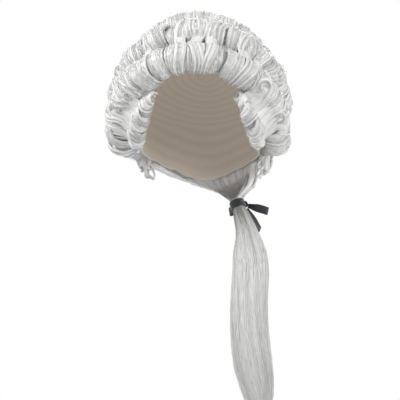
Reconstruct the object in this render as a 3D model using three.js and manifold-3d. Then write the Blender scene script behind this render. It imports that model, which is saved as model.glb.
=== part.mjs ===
// A white costume wig in eighteenth-century style: rows of rolled locks on a sewn cap, plain hair combed down
// the back, and a long queue tied low with a ribbon bow and brought forward over the wearer's left shoulder.
// Millimetres, +Z up, the face looks along -Y and the wearer's left is +X.
// The origin is the crown of the cap's hollow, where the wig sits on the head.
import * as THREE from "three";
import { mergeVertices } from "three/addons/utils/BufferGeometryUtils.js";
import Module from "manifold-3d";

const wasm = await Module();
wasm.setup();

// The head that the cap fits: an ellipsoid above its widest level, drawn in below it towards the neck.
const HEAD_HALF_WIDTH = 78;
const HEAD_HALF_DEPTH = 96;
const CROWN_RISE = 100;
const LOWER_DROP = 217;
const NAPE_TAPER = 2.4;
const LOWEST_RISE = -0.36;
const FACE_TILT = 40;

// Walls and clearances
const CAP_WALL = 2;
const RIBBON_GAP = 0.35;

// The cap's rim, in degrees from the face axis, for each angle around that axis: 0 is the forehead and 180 is
// the nape.
const CAP_RIM = [
  { around: 0, polar: 75 },
  { around: 20, polar: 75 },
  { around: 40, polar: 74 },
  { around: 55, polar: 73 },
  { around: 65, polar: 72 },
  { around: 75, polar: 70 },
  { around: 85, polar: 70.5 },
  { around: 95, polar: 80 },
  { around: 105, polar: 91 },
  { around: 120, polar: 104 },
  { around: 140, polar: 115 },
  { around: 160, polar: 120 },
  { around: 180, polar: 121.5 },
];

// Locks at the two ends of the front row, which hang behind the ears: centre and radius of each section.
const LOCK_BEHIND_RIGHT_EAR = [
  { x: -77, y: 37, z: -146, radius: 9.5 },
  { x: -71, y: 35, z: -160, radius: 8.5 },
  { x: -63, y: 39, z: -172, radius: 5.5 },
  { x: -57, y: 44, z: -180, radius: 1.5 },
];
const LOCK_BEHIND_LEFT_EAR = [
  { x: 79, y: 36, z: -146, radius: 10.5 },
  { x: 74, y: 31, z: -159, radius: 9 },
  { x: 67, y: 29, z: -170, radius: 6 },
  { x: 62, y: 30, z: -178, radius: 1.5 },
];

// Rows of rolled locks: degrees behind the rim at the forehead and at the sides, the span around the face,
// the number of locks, the roll's radius, the degrees that its foot runs forwards and backwards, the lift of
// the foot's hind edge, the degrees over which its ends are rounded, and the locks that hang from its ends.
const CURL_ROWS = [
  {
    name: "curl_row_front", top: 1, side: 6, from: -112, to: 112, locks: 19, radius: 18.6,
    fore: 1, aft: 10.8, seat: 3.1, round: 26, first: LOCK_BEHIND_RIGHT_EAR, last: LOCK_BEHIND_LEFT_EAR,
  },
  {
    name: "curl_row_second", top: 23.5, side: 28.3, from: -103, to: 103, locks: 17, radius: 18.4,
    fore: 10.6, aft: 10.4, seat: 2.9, round: 12, first: [], last: [],
  },
  {
    name: "curl_row_third", top: 46, side: 49.5, from: -93, to: 93, locks: 13, radius: 18,
    fore: 10.4, aft: 10, seat: 2.9, round: 12, first: [], last: [],
  },
  {
    name: "crown_curls", top: 66.5, side: 68, from: -70, to: 70, locks: 7, radius: 15.5,
    fore: 8.6, aft: 9, seat: 2.9, round: 12, first: [], last: [],
  },
  {
    name: "temple_curls_right", top: -18.5, side: -13.5, from: 43, to: 79, locks: 4, radius: 11,
    fore: 3, aft: 14.5, seat: 2.9, round: 14, first: [], last: [],
  },
  {
    name: "temple_curls_left", top: -18.5, side: -13.5, from: -79, to: -43, locks: 4, radius: 11,
    fore: 3, aft: 14.5, seat: 2.9, round: 14, first: [], last: [],
  },
];
const END_DRAW = 0.75;
const FORE_DRAW = 0.7;
const SIDE_FROM = 35;
const SIDE_TO = 75;
const SIDE_FULLNESS = 0.05;
const ROLL_SINK = 2;
const ROLL_POINTS = 10;
const ROLL_START = -38;
const ROLL_END = 218;
const FOOT_TURNS = [239, 270, 301];
const HAIR_FLOOR = 3.3;

// A lock's form along its row: share of the lock's width, and share of the roll's radius there.
const LOCK_FORM = [
  { share: 0, fullness: 0.8 },
  { share: 0.22, fullness: 0.96 },
  { share: 0.5, fullness: 1.02 },
  { share: 0.78, fullness: 0.96 },
];

// How much neighbouring locks differ
const VARY_RADIUS = 0.07;
const VARY_PLACE = 0.14;
const VARY_LEAN = 5;

// Combed hair: strips from behind the curls over the back of the head, then round the neck into the tie.
const BACK_STRIPS = 13;
const BACK_SPREAD = 0.6;
const BACK_ROWS = 11;
const BACK_FLOOR = 4.6;
const BACK_EDGE_LIFT = 2.6;
const BACK_SEAT = 2.5;
const BACK_SEAT_FROM = 0.92;
const BACK_CREST = 15;
const BACK_GROOVE = 10;
const BACK_RISE_FROM = -1;
const BACK_RISE_TO = 1.5;
const GATHER_RELIEF = 1.5;
const GATHER_DEPTH = 0.3;
const BACK_START_SPAN = 118;
const BACK_EXIT_SPAN = 60;
const BACK_PAST_RIM = 1;
// Where the combed hair starts, in degrees behind the rim, for each angle around the face.
const BACK_START = [
  { around: 0, behind: 78 },
  { around: 71, behind: 78 },
  { around: 81, behind: 68.5 },
  { around: 95, behind: 67 },
  { around: 101, behind: 52 },
  { around: 107, behind: 40 },
  { around: 112, behind: 24 },
  { around: 116, behind: 15 },
  { around: 118, behind: 5 },
];
const NECK = { x: 5, y: 15 };
// Rows of the gathered hair between the nape and the tie: share of the way round, reach beyond the straight
// line, and half thickness.
const GATHER_ROWS = [
  { share: 0.22, bulge: 3, halfThick: 6.5 },
  { share: 0.45, bulge: 6, halfThick: 7 },
  { share: 0.7, bulge: 6, halfThick: 7.5 },
];

// The tie, and the queue below it: centre line, half width across the wearer's front and half thickness.
const TIE = new THREE.Vector3(44, 36, -203);
const TIE_AXIS = new THREE.Vector3(0.32, -0.42, -0.85).normalize();
const TIE_OUT = new THREE.Vector3(0.85, 0.5, 0.1);
const TIE_RADIUS = 8.6;
const TIE_PLUG = 7;
const TIE_HALF_GAP = 0.2;
const TIE_OPEN = 84;
const TAIL_SECTIONS = [
  { x: 50, y: 27, z: -218, halfWidth: 10.5, halfThick: 9 },
  { x: 57, y: 12, z: -238, halfWidth: 13, halfThick: 9.5 },
  { x: 61, y: -6, z: -262, halfWidth: 20, halfThick: 10 },
  { x: 63, y: -26, z: -285, halfWidth: 22, halfThick: 10.5 },
  { x: 62, y: -46, z: -318, halfWidth: 21.5, halfThick: 10 },
  { x: 63, y: -58, z: -352, halfWidth: 22.5, halfThick: 9.5 },
  { x: 67, y: -64, z: -388, halfWidth: 23, halfThick: 9 },
  { x: 73, y: -66, z: -420, halfWidth: 18.5, halfThick: 7.5 },
  { x: 76, y: -66, z: -445, halfWidth: 11, halfThick: 5 },
  { x: 77, y: -66, z: -466, halfWidth: 4, halfThick: 2.5 },
];
const TAIL_LOBES = 7;
const TAIL_LOBE_DEPTH = 0.1;
const TAIL_SIDES = 24;
const TAIL_TWIST = 55;
const TAIL_STEPS = 16;

// The ribbon
const RIBBON_WIDTH = 10;
const RIBBON_WALL = 1;
const WRAP_WIDTH = 11;
const WRAP_SIDES = 18;
const KNOT_OUT = new THREE.Vector3(0.55, 0.83, 0.05).normalize();
const KNOT_SIZE = { across: 5, along: 6, out: 3.6 };
const LOOPS = [
  { name: "ribbon_loop_right", along: new THREE.Vector3(0.94, -0.22, -0.2), length: 27, belly: 5 },
  { name: "ribbon_loop_left", along: new THREE.Vector3(-0.66, 0.7, -0.28), length: 25, belly: 5 },
];
const LOOP_STEPS = 14;
const ENDS = [
  { name: "ribbon_end_right", along: new THREE.Vector3(0.5, -0.48, -0.72), length: 37, facing: 96 },
  { name: "ribbon_end_left", along: new THREE.Vector3(-0.08, 0.36, -0.93), length: 33, facing: 10 },
];
const END_STEPS = 6;
const END_SLANT = 5;
const RIBBON_PINCH = 0.55;

const HAIR = new THREE.MeshStandardMaterial({ color: 0xe9e8e3, roughness: 0.4, metalness: 0 });
const CAP_CLOTH = new THREE.MeshStandardMaterial({ color: 0xcebfae, roughness: 0.9, metalness: 0 });
const RIBBON = new THREE.MeshStandardMaterial({ color: 0x25272c, roughness: 0.45, metalness: 0 });

const radians = THREE.MathUtils.degToRad;
const mix = THREE.MathUtils.lerp;
const smooth = THREE.MathUtils.smoothstep;

// A repeatable number from -1 to 1 for lock `index` and purpose `kind`.
function vary(index, kind) {
  const wave = Math.sin(index * 12.9898 + kind * 78.233) * 43758.5453;
  return 2 * (wave - Math.floor(wave)) - 1;
}

// Unit direction from the head's centre, in degrees from the face axis and around it from the forehead.
function bearing(polar, around) {
  const face = new THREE.Vector3(0, -Math.cos(radians(FACE_TILT)), -Math.sin(radians(FACE_TILT)));
  const brow = new THREE.Vector3(0, -Math.sin(radians(FACE_TILT)), Math.cos(radians(FACE_TILT)));
  const rim = brow.multiplyScalar(Math.cos(radians(around))).setX(Math.sin(radians(around)));
  return face.multiplyScalar(Math.cos(radians(polar))).addScaledVector(rim, Math.sin(radians(polar)));
}

// The point of the head's surface in a direction, moved outwards by lift.
function onHead(direction, lift) {
  const rise = Math.max(direction.z, LOWEST_RISE);
  const drop = rise < 0 ? LOWER_DROP : CROWN_RISE;
  const drawn = rise < 0 ? 1 - NAPE_TAPER * rise * rise : 1;
  const skin = new THREE.Vector3(
    HEAD_HALF_WIDTH * drawn * direction.x,
    HEAD_HALF_DEPTH * drawn * direction.y,
    drop * rise - CROWN_RISE,
  );
  return skin.addScaledVector(outward(direction), lift);
}

function outward(direction) {
  const drop = direction.z < 0 ? LOWER_DROP : CROWN_RISE;
  return new THREE.Vector3(
    direction.x / HEAD_HALF_WIDTH,
    direction.y / HEAD_HALF_DEPTH,
    direction.z / drop,
  ).normalize();
}

// A table's value at a place between two of its rows.
function tableAt(rows, key, column, place) {
  const next = Math.max(1, rows.findIndex((row) => row[key] >= place));
  const low = rows[next - 1];
  const high = rows[next];
  return mix(low[column], high[column], (place - low[key]) / (high[key] - low[key]));
}

// The rim's polar angle at an angle around the face.
function rimPolar(around) {
  const turn = Math.abs(THREE.MathUtils.euclideanModulo(around + 180, 360) - 180);
  return tableAt(CAP_RIM, "around", "polar", turn);
}

// A closed solid through rings of equally many points, with its ends closed to their centres.
function loft(rings, firstCentre, lastCentre) {
  const sides = rings[0].length;
  const centre = (ring) => ring.reduce((sum, p) => sum.add(p), new THREE.Vector3()).divideScalar(sides);
  const points = rings.flat().concat(firstCentre ?? centre(rings[0]), lastCentre ?? centre(rings.at(-1)));
  const start = points.length - 2;
  const end = points.length - 1;
  const last = (rings.length - 1) * sides;
  const faces = [];
  for (let k = 0; k < sides; k++) {
    const n = (k + 1) % sides;
    faces.push(start, n, k, end, last + k, last + n);
    for (let r = 0; r < last; r += sides) {
      faces.push(r + k, r + n, r + sides + k, r + n, r + sides + n, r + sides + k);
    }
  }
  return solidOf(points, faces);
}

function solidOf(points, faces) {
  const geometry = new THREE.BufferGeometry().setFromPoints(points).setIndex(faces);
  const merged = mergeVertices(geometry, 1e-3);
  const vertProperties = merged.getAttribute("position").array;
  const triVerts = new Uint32Array(merged.index.array);
  const solid = new wasm.Manifold(new wasm.Mesh({ numProp: 3, vertProperties, triVerts }));
  return solid.volume() > 0 ? solid : new wasm.Manifold(
    new wasm.Mesh({ numProp: 3, vertProperties, triVerts: triVerts.reverse() }),
  );
}

function meshOf(name, solid, material) {
  const data = solid.getMesh();
  const geometry = new THREE.BufferGeometry();
  geometry.setAttribute("position", new THREE.BufferAttribute(data.vertProperties, data.numProp));
  geometry.setIndex(new THREE.BufferAttribute(data.triVerts, 1));
  geometry.computeVertexNormals();
  const mesh = new THREE.Mesh(geometry, material);
  mesh.name = name;
  return mesh;
}

// An oval ring of a swept lock or strip.
function ovalRing({ at, side, out, halfWidth, halfThick }, sides) {
  return Array.from({ length: sides }, (_, k) => {
    const turn = (2 * Math.PI * k) / sides;
    return at.clone()
      .addScaledVector(side, halfWidth * Math.cos(turn))
      .addScaledVector(out, halfThick * Math.sin(turn));
  });
}

// The four corners of a ribbon's section.
function ribbonRing({ at, side, out, halfWidth }) {
  const corners = [[1, 1], [-1, 1], [-1, -1], [1, -1]];
  return corners.map(([across, through]) => at.clone()
    .addScaledVector(side, across * halfWidth)
    .addScaledVector(out, through * RIBBON_WALL / 2));
}

// The sewn cap: a hollow wall from the rim to the pole behind the crown.
const CAP_COLUMNS = 44;
const CAP_ROWS = 9;
const POLE = 180;
const POLE_SHARE = 0.93;

function capRing(share, lift) {
  return Array.from({ length: CAP_COLUMNS }, (_, k) => {
    const around = (360 * k) / CAP_COLUMNS;
    return onHead(bearing(mix(rimPolar(around), POLE, share), around), lift);
  });
}

function capSolid() {
  const shares = Array.from({ length: CAP_ROWS }, (_, k) => (POLE_SHARE * k) / (CAP_ROWS - 1));
  const inside = shares.toReversed().map((share) => capRing(share, 0));
  const outside = shares.map((share) => capRing(share, CAP_WALL));
  const pole = bearing(POLE, 0);
  return loft([...inside, ...outside], onHead(pole, 0), onHead(pole, CAP_WALL));
}

// A curved slab between two grids of points, lower and upper, with rows and columns alike.
function slab(lower, upper) {
  const rows = lower.length;
  const columns = lower[0].length;
  const points = [...lower.flat(), ...upper.flat()];
  const low = (r, c) => r * columns + c;
  const high = (r, c) => rows * columns + r * columns + c;
  const faces = [];
  const quad = (a, b, c, d) => faces.push(a, b, c, a, c, d);
  for (let r = 0; r + 1 < rows; r++) {
    for (let c = 0; c + 1 < columns; c++) {
      quad(high(r, c), high(r, c + 1), high(r + 1, c + 1), high(r + 1, c));
      quad(low(r, c), low(r + 1, c), low(r + 1, c + 1), low(r, c + 1));
    }
    quad(low(r, 0), high(r, 0), high(r + 1, 0), low(r + 1, 0));
    quad(low(r + 1, columns - 1), high(r + 1, columns - 1), high(r, columns - 1), low(r, columns - 1));
  }
  for (let c = 0; c + 1 < columns; c++) {
    quad(low(0, c + 1), high(0, c + 1), high(0, c), low(0, c));
    quad(low(rows - 1, c), high(rows - 1, c), high(rows - 1, c + 1), low(rows - 1, c + 1));
  }
  return solidOf(points, faces);
}

const sideShare = (around) => smooth(Math.abs(around), SIDE_FROM, SIDE_TO);

// Where a roll's centre lies, with its axes: back along the scalp, out from it, and along the row.
function rollFrame(row, around) {
  const behind = mix(row.top, row.side, sideShare(around));
  const closing = behind < 0 ? endFullness(row, around) ** FORE_DRAW : 1;
  const polar = rimPolar(around) + behind * closing;
  const step = 0.5;
  const out = outward(bearing(polar, around));
  const back = onHead(bearing(polar + step, around), 0).sub(onHead(bearing(polar - step, around), 0));
  back.addScaledVector(out, -back.dot(out)).normalize();
  return { out, back, polar, along: new THREE.Vector3().crossVectors(out, back) };
}

const rollTurn = (k) => mix(ROLL_START, ROLL_END, k / (ROLL_POINTS - 1));

// One ring of a rolled row: a foot on the cap, and the roll above it.
function rollRing(row, around, radius, lean, hold) {
  const { out, back, along, polar } = rollFrame(row, around);
  const centre = onHead(bearing(polar, around), HAIR_FLOOR + radius - ROLL_SINK);
  const roll = Array.from({ length: ROLL_POINTS }, (_, k) => {
    const turn = radians(rollTurn(k));
    return centre.clone()
      .addScaledVector(back, -radius * Math.cos(turn))
      .addScaledVector(out, radius * Math.sin(turn))
      .addScaledVector(along, (lean * turn) / Math.PI);
  });
  const feet = [
    onHead(bearing(polar + row.aft * hold, around), row.seat),
    onHead(bearing(polar, around), HAIR_FLOOR),
    onHead(bearing(polar - row.fore, around), HAIR_FLOOR),
  ];
  return [...roll, ...feet];
}

// Rings of a lock that hangs from a row's end, each square to the lock's line.
function hangingRings(row, around, sections) {
  const { out, back, polar } = rollFrame(row, around);
  const root = onHead(bearing(polar, around), HAIR_FLOOR);
  const line = [root, ...sections.map(({ x, y, z }) => new THREE.Vector3(x, y, z))];
  const turns = [...Array.from({ length: ROLL_POINTS }, (_, k) => rollTurn(k)), ...FOOT_TURNS];
  return sections.map(({ radius }, k) => {
    const ahead = line[Math.min(k + 2, line.length - 1)].clone().sub(line[k]).normalize();
    const rise = out.clone().addScaledVector(ahead, -ahead.dot(out)).normalize();
    const hind = back.clone().addScaledVector(ahead, -ahead.dot(back));
    hind.addScaledVector(rise, -rise.dot(hind)).normalize();
    return turns.map((turn) => line[k + 1].clone()
      .addScaledVector(hind, -radius * Math.cos(radians(turn)))
      .addScaledVector(rise, radius * Math.sin(radians(turn))));
  });
}

// Share of a roll's radius that is left near the ends of its row.
function endFullness(row, around) {
  const inset = Math.min(around - row.from, row.to - around);
  const past = Math.max(0, 1 - inset / row.round);
  return Math.sqrt(1 - END_DRAW * past * past);
}

// A row of rolled locks: full at the middle of each lock and drawn in between two locks.
function curlRow(row) {
  const pitch = (row.to - row.from) / row.locks;
  const rings = [];
  for (let index = 0; index <= row.locks; index++) {
    const forms = index < row.locks ? LOCK_FORM : LOCK_FORM.slice(0, 1);
    for (const { share, fullness } of forms) {
      const shift = share === 0 ? VARY_PLACE * vary(index, 2) : 0;
      const inner = index > 0 && index < row.locks;
      const around = row.from + pitch * (index + share + (inner ? shift : 0));
      const own = 1 + VARY_RADIUS * vary(index, 1);
      const side = 1 - SIDE_FULLNESS * Math.sin(radians(around));
      const hold = endFullness(row, around);
      const lean = VARY_LEAN * mix(vary(index, 4), vary(index + 1, 4), share);
      rings.push(rollRing(row, around, row.radius * own * fullness * side * hold, lean, hold));
    }
  }
  const first = hangingRings(row, row.from, row.first).toReversed();
  const last = hangingRings(row, row.to, row.last);
  return loft([...first, ...rings, ...last]);
}

// The direction of a strip of combed hair: place runs from -1 to 1 across the head, and share from its start
// to the rim.
function stripAim(place, share) {
  const startAround = place * BACK_START_SPAN;
  const startPolar = rimPolar(startAround) + tableAt(BACK_START, "around", "behind", Math.abs(startAround));
  const exitAround = POLE + BACK_EXIT_SPAN * -place;
  const start = bearing(startPolar, startAround);
  const exit = bearing(rimPolar(exitAround) - BACK_PAST_RIM, exitAround);
  const arc = start.angleTo(exit);
  return start.multiplyScalar(Math.sin((1 - share) * arc))
    .addScaledVector(exit, Math.sin(share * arc))
    .normalize();
}

// Combed hair from the crown to the tie, as one slab whose outer face is in strips.
function backHair() {
  const columns = 2 * BACK_STRIPS + 1;
  const across = Array.from({ length: columns }, (_, c) => {
    const place = mix(-1, 1, c / (columns - 1));
    return mix(place, Math.sin((place * Math.PI) / 2), BACK_SPREAD);
  });
  const crest = (c) => (c % 2 ? BACK_CREST : BACK_GROOVE);
  const lower = [];
  const upper = [];
  for (let r = 0; r < BACK_ROWS; r++) {
    const share = r === BACK_ROWS - 1 ? 1 : (BACK_SEAT_FROM * r) / (BACK_ROWS - 2);
    const seated = share >= BACK_SEAT_FROM;
    const aims = across.map((place) => stripAim(place, share));
    const rise = smooth(r, BACK_RISE_FROM, BACK_RISE_TO);
    const floor = (c) => (seated ? BACK_SEAT : BACK_FLOOR + BACK_EDGE_LIFT * across[c] ** 4);
    lower.push(aims.map((aim, c) => onHead(aim, floor(c))));
    upper.push(aims.map((aim, c) => onHead(aim, floor(c) + rise * crest(c))));
  }
  const exits = upper.at(-1).map((p, c) => p.clone().add(lower.at(-1)[c]).multiplyScalar(0.5));
  const side = new THREE.Vector3().crossVectors(TIE_AXIS, TIE_OUT).normalize();
  const out = new THREE.Vector3().crossVectors(side, TIE_AXIS).normalize();
  const top = TIE.clone().addScaledVector(TIE_AXIS, -TIE_PLUG);
  const onDisc = (centre, place, sign) => centre.clone()
    .addScaledVector(side, TIE_RADIUS * Math.sin(radians(place * TIE_OPEN)))
    .addScaledVector(out, sign * TIE_RADIUS * Math.cos(radians(place * TIE_OPEN)));
  for (const { share, bulge, halfThick } of GATHER_ROWS) {
    const goals = across.map((place) => onDisc(top, place, GATHER_DEPTH));
    const middles = exits.map((exit, c) => aroundNeck(exit, goals[c], share, bulge));
    const away = middles.map((p) => new THREE.Vector3(p.x - NECK.x, p.y - NECK.y, 0).normalize());
    const strip = (c) => (c % 2 ? GATHER_RELIEF : -GATHER_RELIEF) * (1 - share);
    lower.push(middles.map((p, c) => p.clone().addScaledVector(away[c], -halfThick)));
    upper.push(middles.map((p, c) => p.clone().addScaledVector(away[c], halfThick + strip(c))));
  }
  for (const centre of [top, TIE.clone().addScaledVector(TIE_AXIS, -TIE_HALF_GAP)]) {
    lower.push(across.map((place) => onDisc(centre, place, -1)));
    upper.push(across.map((place) => onDisc(centre, place, 1)));
  }
  return slab(lower, upper);
}

// A point on the way from the nape to the tie, round the neck.
function aroundNeck(from, to, share, bulge) {
  const angle = (p) => Math.atan2(p.y - NECK.y, p.x - NECK.x);
  const reach = (p) => Math.hypot(p.y - NECK.y, p.x - NECK.x);
  const turn = mix(angle(from), angle(to), share);
  const away = mix(reach(from), reach(to), share) + bulge;
  return new THREE.Vector3(
    NECK.x + away * Math.cos(turn),
    NECK.y + away * Math.sin(turn),
    mix(from.z, to.z, share),
  );
}

// A round bar along the tie's axis, between two distances from the tie's centre.
function tieBar(radius, from, to) {
  return loft([tieRing(radius, from, WRAP_SIDES), tieRing(radius, to, WRAP_SIDES)]);
}

function tieRing(radius, distance, sides) {
  const side = new THREE.Vector3(1, 0, 0).addScaledVector(TIE_AXIS, -TIE_AXIS.x).normalize();
  const out = new THREE.Vector3().crossVectors(side, TIE_AXIS).normalize();
  const at = TIE.clone().addScaledVector(TIE_AXIS, distance);
  return ovalRing({ at, side, out, halfWidth: radius, halfThick: radius }, sides);
}

// The queue: a flattened bundle whose skin is in twisted lobes, one for each lock.
function ponytail() {
  const line = new THREE.CatmullRomCurve3(TAIL_SECTIONS.map(({ x, y, z }) => new THREE.Vector3(x, y, z)));
  const sizeAt = (share, column) => {
    const place = share * (TAIL_SECTIONS.length - 1);
    const low = Math.min(Math.floor(place), TAIL_SECTIONS.length - 2);
    return mix(TAIL_SECTIONS[low][column], TAIL_SECTIONS[low + 1][column], place - low);
  };
  const rings = [TIE_HALF_GAP, TIE_PLUG].map((distance) => tieRing(TIE_RADIUS, distance, TAIL_SIDES));
  for (let k = 0; k <= TAIL_STEPS; k++) {
    const share = k / TAIL_STEPS;
    const tangent = line.getTangent(share);
    const side = new THREE.Vector3(1, 0, 0).addScaledVector(tangent, -tangent.x).normalize();
    const out = new THREE.Vector3().crossVectors(side, tangent).normalize();
    const at = line.getPoint(share);
    rings.push(Array.from({ length: TAIL_SIDES }, (_, n) => {
      const turn = (2 * Math.PI * n) / TAIL_SIDES;
      const lobe = Math.cos(TAIL_LOBES * turn + radians(TAIL_TWIST * TAIL_LOBES * share));
      const swell = 1 + TAIL_LOBE_DEPTH * smooth(share, 0, 0.2) * lobe;
      return at.clone()
        .addScaledVector(side, swell * sizeAt(share, "halfWidth") * Math.cos(turn))
        .addScaledVector(out, swell * sizeAt(share, "halfThick") * Math.sin(turn));
    }));
  }
  return loft(rings);
}

// The band of ribbon round the tie.
function ribbonWrap() {
  const half = WRAP_WIDTH / 2;
  const inner = TIE_RADIUS + RIBBON_GAP;
  return tieBar(inner + RIBBON_WALL, -half, half).subtract(tieBar(inner, -half - 1, half + 1));
}

const knotCentre = TIE.clone().addScaledVector(
  KNOT_OUT,
  TIE_RADIUS + RIBBON_WALL + 2 * RIBBON_GAP + KNOT_SIZE.out,
);

function ribbonKnot() {
  const ball = new THREE.SphereGeometry(1, 12, 8);
  ball.deleteAttribute("normal");
  ball.deleteAttribute("uv");
  const across = new THREE.Vector3().crossVectors(TIE_AXIS, KNOT_OUT).normalize();
  const along = new THREE.Vector3().crossVectors(KNOT_OUT, across);
  ball.scale(KNOT_SIZE.across, KNOT_SIZE.along, KNOT_SIZE.out);
  ball.applyMatrix4(new THREE.Matrix4().makeBasis(across, along, KNOT_OUT).setPosition(knotCentre));
  const merged = mergeVertices(ball, 1e-3);
  const position = merged.getAttribute("position");
  const pointAt = (k) => new THREE.Vector3().fromBufferAttribute(position, k);
  const points = Array.from({ length: position.count }, (_, k) => pointAt(k));
  return solidOf(points, [...merged.index.array]);
}

// Where a ribbon leaves the knot in a direction.
function knotSeat(forward) {
  const across = new THREE.Vector3().crossVectors(TIE_AXIS, KNOT_OUT).normalize();
  const along = new THREE.Vector3().crossVectors(KNOT_OUT, across);
  const reach = 1 / Math.hypot(
    forward.dot(across) / KNOT_SIZE.across,
    forward.dot(along) / KNOT_SIZE.along,
    forward.dot(KNOT_OUT) / KNOT_SIZE.out,
  );
  return knotCentre.clone().addScaledVector(forward, reach + RIBBON_GAP);
}

// A bow's loop: ribbon that leaves the knot, swells to its belly and comes back.
function ribbonLoop({ along, length, belly }) {
  const forward = along.clone().normalize();
  const start = knotSeat(forward);
  const up = new THREE.Vector3(0, 0, 1).addScaledVector(forward, -forward.z).normalize();
  const through = new THREE.Vector3().crossVectors(forward, up);
  const rings = Array.from({ length: LOOP_STEPS + 1 }, (_, k) => {
    const turn = mix(-1, 1, k / LOOP_STEPS) * Math.PI;
    const reach = 0.5 * (1 + Math.cos(turn));
    const swell = Math.sin(turn) * Math.sqrt(reach) * belly + Math.sign(turn) * RIBBON_WALL * (1 - reach);
    const ahead = -Math.sin(turn) * 0.5 * length;
    const aside = (Math.cos(turn) * Math.sqrt(reach) - 0.25 * Math.sin(turn) ** 2) * belly;
    const tangent = forward.clone().multiplyScalar(ahead).addScaledVector(through, aside).normalize();
    const out = new THREE.Vector3().crossVectors(tangent, up).normalize();
    const at = start.clone().addScaledVector(forward, reach * length).addScaledVector(through, swell);
    const halfWidth = 0.5 * RIBBON_WIDTH * mix(RIBBON_PINCH, 1, smooth(reach, 0, 0.5));
    return ribbonRing({ at, side: up, out, halfWidth });
  });
  return loft(rings);
}

// A bow's free end, cut on the slant.
function ribbonEnd({ along, length, facing }) {
  const forward = along.clone().normalize();
  const start = knotSeat(forward);
  const flat = new THREE.Vector3().crossVectors(forward, KNOT_OUT).normalize();
  const side = flat.applyAxisAngle(forward, radians(facing));
  const out = new THREE.Vector3().crossVectors(side, forward);
  const rings = Array.from({ length: END_STEPS + 1 }, (_, k) => {
    const share = k / END_STEPS;
    const at = start.clone().addScaledVector(forward, share * length);
    const halfWidth = 0.5 * RIBBON_WIDTH * mix(RIBBON_PINCH, 1, smooth(share, 0, 0.4));
    const ring = ribbonRing({ at, side, out, halfWidth });
    const slant = k === END_STEPS ? END_SLANT : 0;
    ring.forEach((p, corner) => p.addScaledVector(forward, corner === 0 || corner === 3 ? slant : -slant));
    return ring;
  });
  return loft(rings);
}

const wig = new THREE.Group();
wig.add(meshOf("wig_cap", capSolid(), CAP_CLOTH));

CURL_ROWS.forEach((row) => wig.add(meshOf(row.name, curlRow(row), HAIR)));
wig.add(meshOf("back_hair", backHair(), HAIR));
wig.add(meshOf("ponytail", ponytail(), HAIR));
wig.add(meshOf("ribbon_wrap", ribbonWrap(), RIBBON));
wig.add(meshOf("ribbon_knot", ribbonKnot(), RIBBON));
LOOPS.forEach((loop) => wig.add(meshOf(loop.name, ribbonLoop(loop), RIBBON)));
ENDS.forEach((end) => wig.add(meshOf(end.name, ribbonEnd(end), RIBBON)));

export default wig;
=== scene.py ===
"""Looks of a white costume wig with rolled curls, combed back hair and a queue tied with a ribbon bow."""
import math

import bpy
import numpy as np
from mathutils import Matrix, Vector


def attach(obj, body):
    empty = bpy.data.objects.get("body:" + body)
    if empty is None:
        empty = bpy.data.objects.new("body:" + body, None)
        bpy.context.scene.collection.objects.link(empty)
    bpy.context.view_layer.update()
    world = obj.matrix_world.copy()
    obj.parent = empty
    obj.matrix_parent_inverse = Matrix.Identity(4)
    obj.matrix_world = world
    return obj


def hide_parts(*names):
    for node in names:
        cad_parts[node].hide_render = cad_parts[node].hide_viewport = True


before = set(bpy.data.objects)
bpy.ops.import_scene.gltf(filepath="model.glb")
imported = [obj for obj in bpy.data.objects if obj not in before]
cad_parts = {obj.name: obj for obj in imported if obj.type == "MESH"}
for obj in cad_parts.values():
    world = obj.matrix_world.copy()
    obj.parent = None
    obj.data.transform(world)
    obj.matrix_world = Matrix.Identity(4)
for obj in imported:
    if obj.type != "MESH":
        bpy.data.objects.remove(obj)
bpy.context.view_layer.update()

bl_info = {
    "name": "Curled Wig",
    "version": (1, 0, 0),
    "blender": (4, 5, 0),
    "location": "View3D > Sidebar > Wig",
    "description": "Builds the hair, cap and ribbon of a curled costume wig on its CAD frame",
    "category": "Object",
}

MM = 0.001
SEED = 11

# The head that the cap fits, in millimetres and degrees, as in the part's source.
HALF_WIDTH = 78.0
HALF_DEPTH = 96.0
CROWN_RISE = 100.0
LOWER_DROP = 217.0
NAPE_TAPER = 2.4
LOWEST_RISE = -0.36
FACE_TILT = math.radians(40)
FACE = np.array([0.0, -math.cos(FACE_TILT), -math.sin(FACE_TILT)])
BROW = np.array([0.0, -math.sin(FACE_TILT), math.cos(FACE_TILT)])
EAR = np.array([1.0, 0.0, 0.0])
POLE = 180.0
RIM_AROUND = [0, 20, 40, 55, 65, 75, 85, 95, 105, 120, 140, 160, 180]
RIM_POLAR = [75, 75, 74, 73, 72, 70, 70.5, 80, 91, 104, 115, 120, 121.5]

# Rows of rolled locks: node, degrees behind the rim at the forehead and the sides, span around the face,
# locks, roll radius, degrees over which the ends are rounded, clumps and strands in a lock, loose curls, and
# degrees from the row to the bed of hair behind it.
CURL_ROWS = [
    dict(node="curl_row_front", top=1, side=6, start=-112, end=112, locks=19, radius=18.6, round=26,
         clumps=6, strands=38, loose=6, bed=11),
    dict(node="curl_row_second", top=23.5, side=28.3, start=-103, end=103, locks=17, radius=18.4, round=12,
         clumps=6, strands=56, loose=7, bed=11),
    dict(node="curl_row_third", top=46, side=49.5, start=-93, end=93, locks=13, radius=18.0, round=12,
         clumps=6, strands=58, loose=6, bed=10),
    dict(node="crown_curls", top=66.5, side=68, start=-70, end=70, locks=7, radius=15.5, round=12,
         clumps=6, strands=64, loose=3, bed=0),
    dict(node="temple_curls_right", top=-18.5, side=-13.5, start=41, end=79, locks=4, radius=11.0, round=20,
         clumps=5, strands=44, loose=0, bed=0),
    dict(node="temple_curls_left", top=-18.5, side=-13.5, start=-79, end=-41, locks=4, radius=11.0, round=20,
         clumps=5, strands=44, loose=0, bed=0),
]
END_DRAW = 0.75
TEMPLE_DRAW = 0.8
FORE_DRAW = 1.6
SIDE_FROM = 35
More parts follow.
